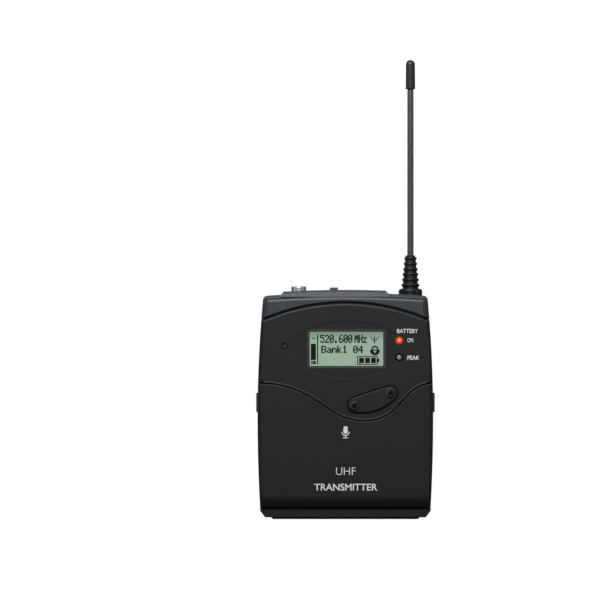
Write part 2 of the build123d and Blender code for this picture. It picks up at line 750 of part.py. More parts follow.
def board_ledges():
    """Ribs on the back wall that the main board rests against."""
    return both_sides(block((10.8, 12), (7.5, 10.6), (10, 36)))


def charging_slots(grow, depth):
    slots = None
    for y in (1.0, 4.0, 7.0):
        slot = block((31.0 - depth, 32), (y - 0.7 - grow, y + 0.7 + grow), (8.5 - grow, 13.5 + grow))
        slots = slot if slots is None else slots + slot
    return slots


def charging_contacts():
    """Three plated pads set flush in the right side wall."""
    pads = None
    for y in (1.0, 4.0, 7.0):
        pad = block((28.9, side_x(11) + 0.02), (y - 0.7, y + 0.7), (8.5, 13.5))
        pads = pad if pads is None else pads + pad
    return pads


def label_recess():
    face = Pos(0, 30) * RectangleRounded(38.2, 24.2, 1.6)
    return slab(face, BACK_Y - 0.3, BACK_Y + 1)


def rear_label():
    face = Pos(0, 30) * RectangleRounded(37.8, 23.8, 1.5)
    return slab(face, BACK_Y - 0.29, BACK_Y - 0.08)


# ---------------------------------------------------------------- cap and its controls


def tier(x, y, rise, corner):
    """A block with rounded corners that rises from inside the cap's roof, crowned like the cap."""
    centre = Pos((x[0] + x[1]) / 2, (y[0] + y[1]) / 2)
    face = centre * RectangleRounded(x[1] - x[0], y[1] - y[0], corner)
    column = Pos(0, 0, CROWN_Z - 1.4) * extrude(face, amount=6)
    return column & rod_y(0, CROWN_Z - CROWN_R, CROWN_R + rise, (-20, 20))


def cap_pad():
    """The raised pad: a lower tier whose front leans back, and a thin upper one."""
    ahead = block((-40, 40), (-10, 0), (-5, 10))
    lean = Pos(0, SHOULDER_Y, CROWN_Z - SHOULDER_R) * Rot(-PAD_LEAN, 0, 0) * ahead
    low = tier(PAD_X, PAD_Y, PAD_RISE, 1.2) - lean
    high = tier(TIER_X, TIER_Y, TIER_RISE, 1.8)
    high = soften(high, pick(high.edges(), lambda p: p.Z > crown_z(p.X, TIER_RISE) - 0.02), 0.25)
    return low + high


def cap_front():
    """The cap's front plate, the rounded shoulder behind it and the groove between them."""
    plate_face = Pos(0, -PLATE_DROP) * outline(PLATE_INSET)
    groove_face = Pos(0, -PLATE_DROP) * outline(PLATE_INSET - GROOVE)
    plate = slab(plate_face, FRONT_Y, -8.0)
    edge = pick(plate.edges(), lambda p: abs(p.Y - FRONT_Y) < 0.01 and p.Z > 20)
    plate = soften(plate, edge, PLATE_EDGE_R)
    shoulder = slab(outline(REVEAL), SHOULDER_Y, SPLIT_Y)
    rim = pick(shoulder.edges(), lambda p: abs(p.Y - SHOULDER_Y) < 0.01 and p.Z > 20)
    shoulder = soften(shoulder, rim, SHOULDER_R)
    trench = slab(groove_face, FRONT_Y, SHOULDER_Y + 0.4) - slab(plate_face, -20, 0)
    return plate + (shoulder - trench)


def top_cap():
    cap = (cap_front() & above_cap_arc(CAP_GAP / 2)) + (REAR & above_cap_arc(REAR_GAP / 2))
    low_front = pick(
        cap.edges(),
        lambda p: abs(math.hypot(p.X, p.Z - CAP_ARC_Z) - CAP_ARC_R - CAP_GAP / 2) < 0.05
        and abs(p.Y - FRONT_Y) < 0.05,
    )
    cap = soften(cap, low_front, 0.25)
    cap = (cap - CAVITY) + cap_pad()
    cap -= rod_z(JACK_X, 0, JACK_COLLAR_R + 0.1, (70, 90))
    slot = (MUTE_X - 1.7, MUTE_X + MUTE_TRAVEL + 1.7)
    cap -= block(slot, (-1.35, 1.35), (70, 90))
    cap -= rod_z(ANTENNA_X, 0, 2.3, (70, 90))
    cap -= rod_z(ANTENNA_X, 0, 4.31, (BOOT_BASE_Z - 0.35, 90))
    return cap


def jack_collar():
    collar = rod_z(JACK_X, 0, JACK_COLLAR_R, (78.0, JACK_TOP_Z))
    collar = soften(collar, pick(collar.edges(), lambda p: p.Z > JACK_TOP_Z - 0.01), 0.35)
    collar += rod_z(JACK_X, 0, 3.6, (78.0, 79.1))
    return collar - rod_z(JACK_X, 0, JACK_R, (70, 90))


def jack_body():
    """The socket's insulating block, with its solder tails."""
    body = block((JACK_X - 4.2, JACK_X + 4.2), (-4.5, 5.0), (66.6, 78.0))
    body -= rod_z(JACK_X, 0, JACK_R, (69.0, 79))
    body = soften(body, pick(body.edges().filter_by(Axis.Z), lambda p: p.Y > 4.9), 0.6)
    for x in (-3.2, 0.0, 3.2):
        body += block((JACK_X + x - 0.4, JACK_X + x + 0.4), (4.9, MAIN_BOARD_Y[0]), (70, 70.6))
    return body


def mute_knob():
    x = (MUTE_X - 1.43, MUTE_X + 1.43)
    knob = block(x, (-1.1, 1.1), (77.0, MUTE_TOP_Z))
    knob = soften(knob, pick(knob.edges(), lambda p: p.Z > MUTE_TOP_Z - 0.01), 0.25)
    for i in range(3):
        centre = MUTE_X + (i - 1) * 0.75
        knob -= block((centre - 0.14, centre + 0.14), (-2, 2), (MUTE_TOP_Z - 0.3, MUTE_TOP_Z + 1))
    return knob + block((MUTE_X - 0.7, MUTE_X + 0.7), (-0.9, 0.9), (75.2, 77.1))


def mute_switch():
    """A slide switch under the cap, with a trough for the knob's stem."""
    body = block((MUTE_X - 4.0, MUTE_X + MUTE_TRAVEL + 4.0), (-2.4, 2.4), (72.0, 76.6))
    trough = block((MUTE_X - 0.9, MUTE_X + MUTE_TRAVEL + 0.9), (-1.1, 1.1), (75.0, 77))
    body -= trough
    return body + block((MUTE_X - 2.5, MUTE_X + 5.5), (2.3, MAIN_BOARD_Y[0]), (72.3, 72.9))


def antenna_boot():
    """A tapered rubber strain relief: rings on a cone, joined by four ribs at each neck."""
    flange_r, flange_top, half = 4.26, BOOT_BASE_Z + 2.2, 0.5
    boot = rod_z(0, 0, flange_r, (BOOT_BASE_Z - 0.3, flange_top))
    boot = soften(boot, pick(boot.edges(), lambda p: p.Z > flange_top - 0.01), 0.8)
    boot += Pos(0, 0, (flange_top + BOOT_TOP_Z) / 2 - 0.3) * Cone(2.3, 1.6, BOOT_TOP_Z - flange_top - 0.2)
    for z, r in BOOT_RINGS:
        top = min(z + half, BOOT_TOP_Z)
        ring = rod_z(0, 0, r, (z - half, top))
        boot += soften(ring, ring.edges().filter_by(GeomType.CIRCLE), 0.4)
    levels = [(flange_top, BOOT_RINGS[0][1])] + BOOT_RINGS
    for (z0, r0), (z1, r1) in zip(levels, levels[1:]):
        reach = 0.87 * min(r0, r1)
        rib = block((-0.75, 0.75), (-reach, reach), (z0 - 0.2, z1 + 0.2))
        boot += rib + Rot(0, 0, 90) * rib
    boot += rod_z(0, 0, 1.7, (BOOT_TOP_Z - 0.6, BOOT_TOP_Z))
    return Pos(ANTENNA_X, 0, 0) * (boot - Cylinder(WHIP_R + 0.01, 400))


def antenna_whip():
    return rod_z(ANTENNA_X, 0, WHIP_R, (76.5, TIP_TOP_Z - 4.0))


def antenna_tip():
    low = TIP_TOP_Z - TIP_LEN
    lip_r = TIP_R + 0.08
    profile = Polyline((0, low), (TIP_R, low), (lip_r, low + 0.25), (TIP_R, TIP_TOP_Z - TIP_R))
    dome = CenterArc((0, TIP_TOP_Z - TIP_R), TIP_R, 0, 90)
    axis = Line((0, TIP_TOP_Z), (0, low))
    tip = revolve(Plane.XZ * make_face([profile, dome, axis]), Axis.Z, 360)
    tip -= rod_z(0, 0, WHIP_R + 0.01, (low - 1, TIP_TOP_Z - 4.0))
    return Pos(ANTENNA_X, 0, 0) * tip


def antenna_ferrule():
    """The brass ferrule that carries the whip, with its flange under the cap."""
    ferrule = rod_z(ANTENNA_X, 0, 2.25, (75.0, BOOT_BASE_Z - 0.35))
    ferrule += rod_z(ANTENNA_X, 0, 3.6, (77.3, 78.5))
    return ferrule - rod_z(ANTENNA_X, 0, WHIP_R + 0.01, (70, 90))


def antenna_feed():
    """The spring finger that joins the ferrule to the main board."""
    finger = block((ANTENNA_X - 1.0, ANTENNA_X + 1.0), (2.3, 2.6), (71.0, 76.5))
    return finger + block((ANTENNA_X - 1.0, ANTENNA_X + 1.0), (2.3, MAIN_BOARD_Y[0]), (70.6, 71.0))


# ---------------------------------------------------------------- battery bay


def battery_cell(z, turn):
    """One AA cell across the case; turn is 1 with its button to the right, or -1."""
    start, end = -24.0, -24.0 + CELL_LEN
    can = rod_x(0, 0, CELL_R, (start, end))
    can = soften(can, can.edges().filter_by(GeomType.CIRCLE), 0.6)
    can += rod_x(0, 0, 2.7, (end - 0.1, end + 1.2))
    can -= rod_x(0, 0, 4.6, (start - 1, start + 0.2))
    if turn < 0:
        can = Rot(0, 0, 180) * can
    return Pos(0, CELL_Y, z) * can


def battery_tray():
    z_top = CELL_LOW_Z + CELL_PITCH + CELL_R + 0.3
    back = block((-27.9, 27.9), (4.6, 5.4), (7.0, z_top + 0.8))
    roof = block((-27.9, 27.9), (-7.6, 5.4), (z_top, z_top + 0.8))
    floor = block((-27.9, 27.9), (-4.0, 5.4), (7.0, 7.8))
    ends = both_sides(block((27.1, 27.9), (-7.0, 5.4), (7.0, z_top + 0.8)))
    tray = back + roof + floor + ends
    divider_z = CELL_LOW_Z + CELL_PITCH / 2
    tray += block((-20, 20), (2.2, 4.7), (divider_z - 0.25, divider_z + 0.25))
    x, z = SCREW_SPOTS[3]
    boss = rod_y(x, z, BOSS_R, (5.3, BOSS_END_Y))
    return tray + both_sides(boss - rod_y(x, z, SCREW_R + 0.02, (5.0, BOSS_END_Y + 1)))


def battery_spring(z, turn):
    """A conical coil that presses on a cell's flat end."""
    path = Helix(pitch=0.9, height=2.3, radius=4.0, cone_angle=-20)
    start = Plane(origin=path @ 0, z_dir=path % 0)
    coil = sweep(start * Circle(0.3), path=path)
    coil = Rot(0, 90, 0) * coil
    spring = Pos(-26.45, 0, 0) * coil
    if turn < 0:
        spring = Rot(0, 0, 180) * spring
    return Pos(0, CELL_Y, z) * spring


def contact_plates():
    """Plated plates at the ends of the bay; the left pair is one piece and joins the cells."""
    high = CELL_LOW_Z + CELL_PITCH
    link = block((-27.08, -26.8), (CELL_Y - 4.5, CELL_Y + 4.5), (CELL_LOW_Z - 5, high + 5))
    lower = block((26.8, 27.08), (CELL_Y - 4.5, CELL_Y + 4.5), (CELL_LOW_Z - 5, CELL_LOW_Z + 5.5))
    upper = block((26.8, 27.08), (CELL_Y - 4.5, CELL_Y + 4.5), (high - 5.5, high + 5))
    bump = rod_x(CELL_Y, high, 2.2, (26.25, 26.9))
    bump += rod_x(CELL_Y, CELL_LOW_Z, 2.2, (-26.9, -26.25))
    return link + lower + upper + bump


# ---------------------------------------------------------------- battery door


def battery_door():
    edge = slab(wave_face(-GAP / 2), -30, SPLIT_Y - 0.15)
    outer = (FRONT & edge) - past_barrel()
    wave_edges = pick(
        outer.edges(),
        lambda p: abs(p.Y - FRONT_Y) < 0.02 and 34 < p.Z < 49 and abs(p.X) < 29.6,
    )
    outer = soften(outer, wave_edges, 0.35)
    door = outer - CAVITY
    # knuckles on both sides of each lug, relief round the lugs, and the pin's bore
    knuckle = rod_x(HINGE_Y, HINGE_Z, BARREL_R, (17.0, LUG_X[0] - 0.2))
    knuckle += rod_x(HINGE_Y, HINGE_Z, BARREL_R, (LUG_X[1] + 0.2, 29.2))
    door += both_sides(knuckle)
    room = (LUG_X[0] - 0.2, LUG_X[1] + 0.2)
    door -= both_sides(rod_x(HINGE_Y, HINGE_Z, LUG_R + LUG_ROOM, room))
    door -= both_sides(block(room, (HINGE_Y - 0.4, 0), (0, HINGE_Z)))
    door -= rod_x(HINGE_Y, HINGE_Z, PIN_R + RUN, (-28.6, 28.6))
    door += both_sides(block((24.9, 25.8), (FRONT_Y + WALL - 0.1, -7.6), (39.9, 43.9)))
    door += stiffening_ribs()
    slot = block((27, 34), (CATCH_Y[0] - FIT, CATCH_Y[1] + FIT), (CATCH_Z[0] - FIT, CATCH_Z[1] + FIT))
    return door - both_sides(slot)


def stiffening_ribs():
    ribs = None
    for x in (-16.0, 0.0, 16.0):
        rib = block((x - 0.4, x + 0.4), (FRONT_Y + WALL - 0.1, FRONT_Y + WALL + 0.25), (9, 33))
        ribs = rib if ribs is None else ribs + rib
    return ribs


def hinge_pin():
    return rod_x(HINGE_Y, HINGE_Z, PIN_R, (-28.4, 28.4))


def catch_right():
    pad = block((28.6, CATCH_OUT), CATCH_Y, CATCH_Z)
    pad = soften(pad, pick(pad.edges(), lambda p: p.X > CATCH_OUT - 0.01), 0.35)
    flange = block((28.1, 29.15), (-10.3, -7.8), (37.3, 46.4))
    finger = block((28.1, 29.15), (-7.9, -5.2), (41.0, 43.0))
    return pad + flange + finger


def catch_left():
    return mirror(catch_right(), Plane.YZ)


def catch_spring_right():
    path = Helix(pitch=0.55, height=1.9, radius=1.0)
    start = Plane(origin=path @ 0, z_dir=path % 0)
    coil = sweep(start * Circle(0.14), path=path)
    return Pos(26.0, -8.95, 41.9) * Rot(0, 90, 0) * coil


def catch_spring_left():
    return mirror(catch_spring_right(), Plane.YZ)


# ---------------------------------------------------------------- belt clip and fasteners


def belt_clip():
    """One length of spring wire, bent so that its ends spread into the case's holes."""
    out_y = CLIP_PLANE_Y
    half = [
        (CLIP_END_X, CLIP_PIVOT_Y, CLIP_PIVOT_Z),
        (CLIP_LEG_X, CLIP_PIVOT_Y, CLIP_PIVOT_Z),
        (CLIP_LEG_X, out_y, CLIP_PIVOT_Z + 0.4),
        (20.5, out_y - 0.2, 18.0),
        (18.0, BACK_Y + 0.7 + WIRE_R, 10.0),
        (14.0, BACK_Y + 3.2, 4.5),
    ]
    path = half + [(-x, y, z) for x, y, z in reversed(half)]
    radii = [1.3, 2.2, 9.0, 5.0, 3.0, 3.0, 5.0, 9.0, 2.2, 1.3]
    line = FilletPolyline(*path, radius=radii)
    section = Plane(origin=line @ 0, z_dir=line % 0) * Circle(WIRE_R)
    return sweep(section, path=line)


def screw(x, z):
    """A machine screw with a low round head and a cross recess."""
    head = rod_y(x, z, 1.95, (BACK_Y - 1.25, BACK_Y - 0.15))
    head = soften(head, pick(head.edges(), lambda p: p.Y > BACK_Y - 0.2), 0.35)
    head -= block((x - 1.1, x + 1.1), (BACK_Y - 0.75, BACK_Y + 1), (z - 0.2, z + 0.2))
    head -= block((x - 0.2, x + 0.2), (BACK_Y - 0.75, BACK_Y + 1), (z - 1.1, z + 1.1))
    return head + rod_y(x, z, SCREW_R, (5.6, BACK_Y - 1.2))


def case_screws():
    screws = [screw(x, z) for x, z in SCREW_SPOTS]
    return Compound(children=screws)


# ---------------------------------------------------------------- all sub-parts

PARTS = {
    "rear_shell": rear_shell,
    "front_shell": front_shell,
    "top_cap": top_cap,
    "display_bezel": display_bezel,
    "display_lens": display_lens,
    "lcd_glass": lcd_glass,
    "lcd_frame": lcd_frame,
    "lcd_backlight": lcd_backlight,
    "light_pipe_power": lambda: light_pipe(LED_ON_Z),
    "light_pipe_peak": lambda: light_pipe(LED_PEAK_Z),
    "light_pipe_sleeves": led_holder,
    "indicator_leds": indicator_leds,
    "infrared_window": ir_window,
    "rocker_key": rocker_key,
    "rocker_pivot_pin": rocker_pivot_pin,
    "rocker_switches": rocker_switches,
    "set_key": set_key,
    "power_key": power_key,
    "key_switches": key_switches,
    "front_board": front_board,
    "main_board": main_board,
    "shield_can": shield_can,
    "board_chips": board_chips,
    "board_capacitors": board_capacitors,
    "board_connector": board_connector,
    "jack_collar": jack_collar,
    "jack_body": jack_body,
    "mute_knob": mute_knob,
    "mute_switch": mute_switch,
    "antenna_boot": antenna_boot,
    "antenna_whip": antenna_whip,
    "antenna_tip": antenna_tip,
    "antenna_ferrule": antenna_ferrule,
    "antenna_feed": antenna_feed,
    "battery_tray": battery_tray,
    "battery_cell_upper": lambda: battery_cell(CELL_LOW_Z + CELL_PITCH, 1),
    "battery_cell_lower": lambda: battery_cell(CELL_LOW_Z, -1),
    "battery_spring_upper": lambda: battery_spring(CELL_LOW_Z + CELL_PITCH, 1),
    "battery_spring_lower": lambda: battery_spring(CELL_LOW_Z, -1),
    "contact_plates": contact_plates,
    "charging_contacts": charging_contacts,
    "battery_door": battery_door,
    "hinge_pin": hinge_pin,
    "catch_right": catch_right,
    "catch_left": catch_left,
    "catch_spring_right": catch_spring_right,
    "catch_spring_left": catch_spring_left,
    "belt_clip": belt_clip,
    "rear_label": rear_label,
    "case_screws": case_screws,
}


def main():
    os.makedirs("parts", exist_ok=True)
    for name, make in PARTS.items():
        shape = make()
        export_step(shape, f"parts/{name}.step")
        print(name, len(shape.solids()), "solids", round(shape.volume, 1), "mm3")


main()
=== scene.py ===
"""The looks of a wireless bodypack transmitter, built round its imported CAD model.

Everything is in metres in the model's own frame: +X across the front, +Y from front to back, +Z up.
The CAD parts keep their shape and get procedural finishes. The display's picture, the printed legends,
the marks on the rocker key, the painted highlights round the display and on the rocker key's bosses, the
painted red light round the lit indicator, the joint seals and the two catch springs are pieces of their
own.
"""

import math

import bmesh
import bpy
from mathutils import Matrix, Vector


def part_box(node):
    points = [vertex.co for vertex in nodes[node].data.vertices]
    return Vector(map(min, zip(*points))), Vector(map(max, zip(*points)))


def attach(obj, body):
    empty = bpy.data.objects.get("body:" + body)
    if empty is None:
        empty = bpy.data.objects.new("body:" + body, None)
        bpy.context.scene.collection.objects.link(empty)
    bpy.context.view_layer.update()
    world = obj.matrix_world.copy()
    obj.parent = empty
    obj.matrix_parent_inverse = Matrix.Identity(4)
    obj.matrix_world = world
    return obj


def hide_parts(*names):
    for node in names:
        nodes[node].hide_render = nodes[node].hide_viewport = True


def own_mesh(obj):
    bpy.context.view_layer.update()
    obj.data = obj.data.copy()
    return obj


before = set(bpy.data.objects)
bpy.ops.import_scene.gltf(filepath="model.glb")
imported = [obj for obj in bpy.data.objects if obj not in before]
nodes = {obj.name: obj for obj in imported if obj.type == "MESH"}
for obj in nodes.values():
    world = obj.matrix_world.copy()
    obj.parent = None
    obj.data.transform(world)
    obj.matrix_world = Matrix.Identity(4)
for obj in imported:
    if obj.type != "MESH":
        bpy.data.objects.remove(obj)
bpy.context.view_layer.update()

MM = 0.001
PRINT = 0.02 * MM  # thickness of printed ink
FRONT_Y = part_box("battery_door")[0].y  # the front panel's outer face
PICTURE_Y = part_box("lcd_glass")[0].y - 0.004 * MM  # where the display's picture stands, at its glass
GLOW = 0.85  # how far the display's own light adds to what falls on it


def middle_of(node):
    """The middle of a CAD node's box."""
    low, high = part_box(node)
    return (low + high) / 2


# ---------------------------------------------------------------- shader helpers


def add(tree, kind, inputs=None, **settings):
    """A shader node with its settings, and with values or links on its inputs."""
    node = tree.nodes.new(kind)
    for key, value in settings.items():
        setattr(node, key, value)
    for key, value in (inputs or {}).items():
        if isinstance(value, bpy.types.NodeSocket):
            tree.links.new(value, node.inputs[key])
        else:
            node.inputs[key].default_value = value
    return node


def place(tree):
    """Where a point is in the model's frame. It travels with the piece."""
    return add(tree, "ShaderNodeTexCoord").outputs["Object"]


def axis_value(tree, axis):
    """One coordinate of the point, in metres."""
    return add(tree, "ShaderNodeSeparateXYZ", {0: place(tree)}).outputs[axis]


def noise(tree, size_mm, detail=2.0, stretch=(1, 1, 1)):
    """Noise with features about size_mm across, drawn out along an axis whose stretch is below 1."""
    scaled = add(tree, "ShaderNodeMapping", {"Vector": place(tree), "Scale": stretch}).outputs[0]
    values = {"Vector": scaled, "Scale": 1 / (size_mm * MM), "Detail": detail}
    return add(tree, "ShaderNodeTexNoise", values).outputs[0]


def blend_colours(tree, share, low, high):
    """A colour between low and high by share."""
    ramp = add(tree, "ShaderNodeValToRGB", {"Fac": share})
    ramp.color_ramp.elements[0].color = (*low, 1)
    ramp.color_ramp.elements[1].color = (*high, 1)
    ramp.color_ramp.elements[0].position = 0.25
    ramp.color_ramp.elements[1].position = 0.75
    return ramp.outputs[0]


def spread(tree, share, low, high):
    """share, from 0 to 1, spread over low to high."""
    values = {"Value": share, "To Min": low, "To Max": high}
    return add(tree, "ShaderNodeMapRange", values).outputs[0]


def spread_about(tree, share, value, reach):
    """share, from 0 to 1, spread from value less reach to value plus reach."""
    return spread(tree, share, value - reach, value + reach)


def ramp_along(tree, axis, start, end):
    """0 to 1 between two places along an axis, in metres."""
    values = {"Value": axis_value(tree, axis), "From Min": start, "From Max": end}
    return add(tree, "ShaderNodeMapRange", values).outputs[0]


def mix_colours(tree, share, low, high):
    """A colour between two by share; each is a colour or a socket."""
    low, high = [c if isinstance(c, bpy.types.NodeSocket) else (*c, 1) for c in (low, high)]
    # A mix node's colours are its inputs 6 and 7 and its output 2.
    return add(tree, "ShaderNodeMix", {0: share, 6: low, 7: high}, data_type="RGBA").outputs[2]


def mix_shaders(tree, share, low, high):
    """A shader between two by share."""
    return add(tree, "ShaderNodeMixShader", {0: share, 1: low, 2: high}).outputs[0]


def bumps(tree, height, depth_mm, strength):
    """Surface normals for a fine relief depth_mm deep."""
    values = {"Height": height, "Distance": depth_mm * MM, "Strength": strength}
    return add(tree, "ShaderNodeBump", values).outputs[0]


def shade(colour, factor):
    """A colour made darker or lighter."""
    return tuple(min(1.0, c * factor) for c in colour)


def new_material(name, sockets):
    """A Principled material; uniform values go straight on its sockets."""
    material = bpy.data.materials.new(name)
    material.use_nodes = True
    shader = material.node_tree.nodes["Principled BSDF"]
    for key, value in (sockets or {}).items():
        shader.inputs[key].default_value = value
    return material, material.node_tree, shader


def put(tree, shader, **links):
    """Links sockets such as Base_Color to outputs."""
    for key, value in links.items():
        tree.links.new(value, shader.inputs[key.replace("_", " ")])


# ---------------------------------------------------------------- materials


def moulded(name, colour, roughness, grain_mm=0.22, depth_mm=0.012, mottle=0.1, sockets=None):
    """Moulded plastic: fine spark-eroded grain, slight mottling, gloss that varies a little."""
    mottle_mm, gloss_reach = 14, 0.04
    material, tree, shader = new_material(name, sockets)
    fine = noise(tree, grain_mm, detail=3)
    broad = noise(tree, mottle_mm)
    total = add(tree, "ShaderNodeMath", {0: fine, 1: broad}, operation="ADD").outputs[0]
    share = add(tree, "ShaderNodeMath", {0: total, 1: 0.5}, operation="MULTIPLY").outputs[0]
    tone = blend_colours(tree, share, shade(colour, 1 - mottle), shade(colour, 1 + mottle))
    gloss = spread_about(tree, broad, roughness, gloss_reach)
    normal = bumps(tree, fine, depth_mm, 0.6)
    put(tree, shader, Base_Color=tone, Roughness=gloss, Normal=normal)
    return material


def rubber(name, colour, roughness):
    """Matte rubber with a faint dusty sheen."""
    sockets = {"Sheen Weight": 0.06, "Sheen Roughness": 0.5, "Specular IOR Level": 0.35}
    grain = {"grain_mm": 0.12, "depth_mm": 0.008, "mottle": 0.14}
    return moulded(name, colour, roughness, sockets=sockets, **grain)


def metal(name, colour, roughness, stretch=(1, 1, 1), grain_mm=0.15):
    """Metal with fine tool marks, which stretch draws out as it does noise."""
    material, tree, shader = new_material(name, {"Metallic": 1.0})
    marks = noise(tree, grain_mm, detail=3, stretch=stretch)
    tone = blend_colours(tree, noise(tree, 3), shade(colour, 0.86), shade(colour, 1.08))
    gloss = spread_about(tree, marks, roughness, 0.07)
    normal = bumps(tree, marks, 0.004, 0.5)
    put(tree, shader, Base_Color=tone, Roughness=gloss, Normal=normal)
    return material


def display_green(name):
    """The lit liquid crystal: pale green, greyer to the right, with a painted shadow under its frame's
    top edge.
    """
    sockets = {"Specular IOR Level": 0.3, "Emission Strength": GLOW}
    material, tree, shader = new_material(name, sockets)
    low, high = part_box("lcd_glass")
    shadow_from, shadow_to = high.z - 4.6 * MM, high.z - 1.1 * MM
    across = ramp_along(tree, 0, low.x, high.x)
    tone = mix_colours(tree, across, (0.315, 0.430, 0.320), (0.345, 0.400, 0.362))
    # Painted shadow: darker towards the top, under the frame's edge.
    shadow = spread(tree, ramp_along(tree, 2, shadow_from, shadow_to), 0.0, 0.6)
    tone = mix_colours(tree, shadow, tone, (0.13, 0.19, 0.15))
    gloss = spread(tree, noise(tree, 0.3, detail=1), 0.42, 0.5)
    put(tree, shader, Base_Color=tone, Emission_Color=tone, Roughness=gloss)
    return material


def display_ink(name):
    """The dark segments of the liquid crystal."""
    material, tree, shader = new_material(name, {"Specular IOR Level": 0.2})
    grain = noise(tree, 0.5, detail=1)
    tone = blend_colours(tree, grain, (0.024, 0.030, 0.024), (0.027, 0.033, 0.027))
    put(tree, shader, Base_Color=tone, Roughness=spread(tree, grain, 0.5, 0.6))
    return material


def glow(name, low, high, strength):
    """Painted light: plastic that glows unevenly between two colours, standing for light that falls on
    it.
    """
    material, tree, shader = new_material(name, {"Roughness": 0.4, "Emission Strength": strength})
    tone = blend_colours(tree, noise(tree, 0.9, detail=1), low, high)
    put(tree, shader, Base_Color=tone, Emission_Color=tone)
    return material


def ink(name, colour):
    """Printed ink with slightly uneven cover."""
    return moulded(name, colour, 0.55, grain_mm=0.08, depth_mm=0.003, mottle=0.05)


def clear_window(name):
    """Thin clear plastic: see-through, with a sharp reflection that grows at a glancing angle."""
    material = bpy.data.materials.new(name)
    material.use_nodes = True
    tree = material.node_tree
    tree.nodes.clear()
    smear = spread(tree, noise(tree, 6), 0.03, 0.07)
    clear = add(tree, "ShaderNodeBsdfTransparent", {"Color": (0.96, 0.985, 0.96, 1)}).outputs[0]
    gloss = add(tree, "ShaderNodeBsdfGlossy", {"Roughness": smear}).outputs[0]
    share = add(tree, "ShaderNodeFresnel", {"IOR": 1.45}).outputs[0]
    add(tree, "ShaderNodeOutputMaterial", {"Surface": mix_shaders(tree, share, clear, gloss)})
    return material


def lamp_lens(name, node, core, rim, strength):
    """A light pipe's dome, brightest at its middle: colour by distance from its own axis."""
    sockets = {"Roughness": 0.22, "Coat Weight": 0.6, "Coat Roughness": 0.08}
    material, tree, shader = new_material(name, {**sockets, "Emission Strength": strength})
    middle = middle_of(node)
    from_middle = {0: place(tree), 1: (middle.x, 0, middle.z)}
    offset = add(tree, "ShaderNodeVectorMath", from_middle, operation="SUBTRACT").outputs[0]
    without_y = {0: offset, 1: (1, 0, 1)}
    flat = add(tree, "ShaderNodeVectorMath", without_y, operation="MULTIPLY").outputs[0]
    away = add(tree, "ShaderNodeVectorMath", {0: flat}, operation="LENGTH").outputs["Value"]
    share = add(tree, "ShaderNodeMapRange", {"Value": away, "From Max": 1.15 * MM}).outputs[0]
    ramp = add(tree, "ShaderNodeValToRGB", {"Fac": share})
    for element, colour, position in zip(ramp.color_ramp.elements, (core, rim), (0.25, 0.95)):
        element.color = (*colour, 1)
        element.position = position
    put(tree, shader, Base_Color=ramp.outputs[0], Emission_Color=ramp.outputs[0])
    return material


def board(name):
    """Solder mask over copper: traces show as a lighter net between darker fields."""
    material, tree, shader = new_material(name, {"Coat Weight": 0.4, "Coat Roughness": 0.2})
    net = {"Vector": place(tree), "Scale": 1 / (1.6 * MM)}
    to_trace = add(tree, "ShaderNodeTexVoronoi", net, feature="DISTANCE_TO_EDGE").outputs[0]
    edge = {"Value": to_trace, "From Min": 0.04, "From Max": 0.1}
    share = add(tree, "ShaderNodeMapRange", edge).outputs[0]
    tone = blend_colours(tree, share, (0.03, 0.22, 0.09), (0.008, 0.09, 0.04))
    put(tree, shader, Base_Color=tone, Roughness=spread(tree, share, 0.3, 0.42))
    return material


def cell_sleeve(name, towards):
    """A battery cell's printed sleeve: a dark body with a coppery band at the button end."""
    material, tree, shader = new_material(name, {"Coat Weight": 0.5, "Coat Roughness": 0.12})
    button_x = towards * 25 * MM
    ramp = add(tree, "ShaderNodeValToRGB", {"Fac": ramp_along(tree, 0, -button_x, button_x)})
    ramp.color_ramp.interpolation = "CONSTANT"
    stops = [
        (0.0, (0.42, 0.42, 0.43)),
        (0.035, (0.012, 0.013, 0.016)),
        (0.70, (0.5, 0.5, 0.5)),
        (0.715, (0.32, 0.12, 0.035)),
        (0.965, (0.55, 0.55, 0.55)),
    ]
    while len(ramp.color_ramp.elements) < len(stops):
        ramp.color_ramp.elements.new(0.5)
    for element, (position, colour) in zip(ramp.color_ramp.elements, stops):
        element.position = position
        element.color = (*colour, 1)
    gloss = spread(tree, noise(tree, 2.5, detail=3), 0.22, 0.4)
    put(tree, shader, Base_Color=ramp.outputs[0], Roughness=gloss)
    return material


def foil_label(name):
    """A blank printed foil plate with a faint vertical brush."""
    material, tree, shader = new_material(name, {"Metallic": 0.55})
    marks = noise(tree, 0.2, stretch=(1, 1, 0.05))
    tone = blend_colours(tree, marks, (0.16, 0.16, 0.165), (0.2, 0.2, 0.205))
    put(tree, shader, Base_Color=tone, Roughness=spread(tree, marks, 0.34, 0.46))
    return material


BLACK = (0.0105, 0.0106, 0.0112)
CASE = moulded("case_plastic", BLACK, 0.5, sockets={"Specular IOR Level": 0.34})
DOOR = moulded("door_plastic", BLACK, 0.5, sockets={"Specular IOR Level": 0.34})
CAP = moulded("cap_graphite", (0.031, 0.037, 0.045), 0.44, mottle=0.2)
BEZEL = moulded("bezel_plastic", shade(BLACK, 0.85), 0.48, sockets={"Specular IOR Level": 0.36})
TRAY = moulded("tray_plastic", (0.014, 0.014, 0.015), 0.55)
KEY = rubber("key_rubber", (0.0095, 0.0095, 0.0098), 0.55)
# A painted highlight: the light ring round the display's window.
WINDOW_HIGHLIGHT = moulded("window_edge_highlight", (0.062, 0.066, 0.063), 0.4, mottle=0.05)
# A painted highlight: the light line along the bezel's lower edge.
EDGE = moulded("bezel_edge_highlight", (0.028, 0.028, 0.029), 0.4, mottle=0.05)
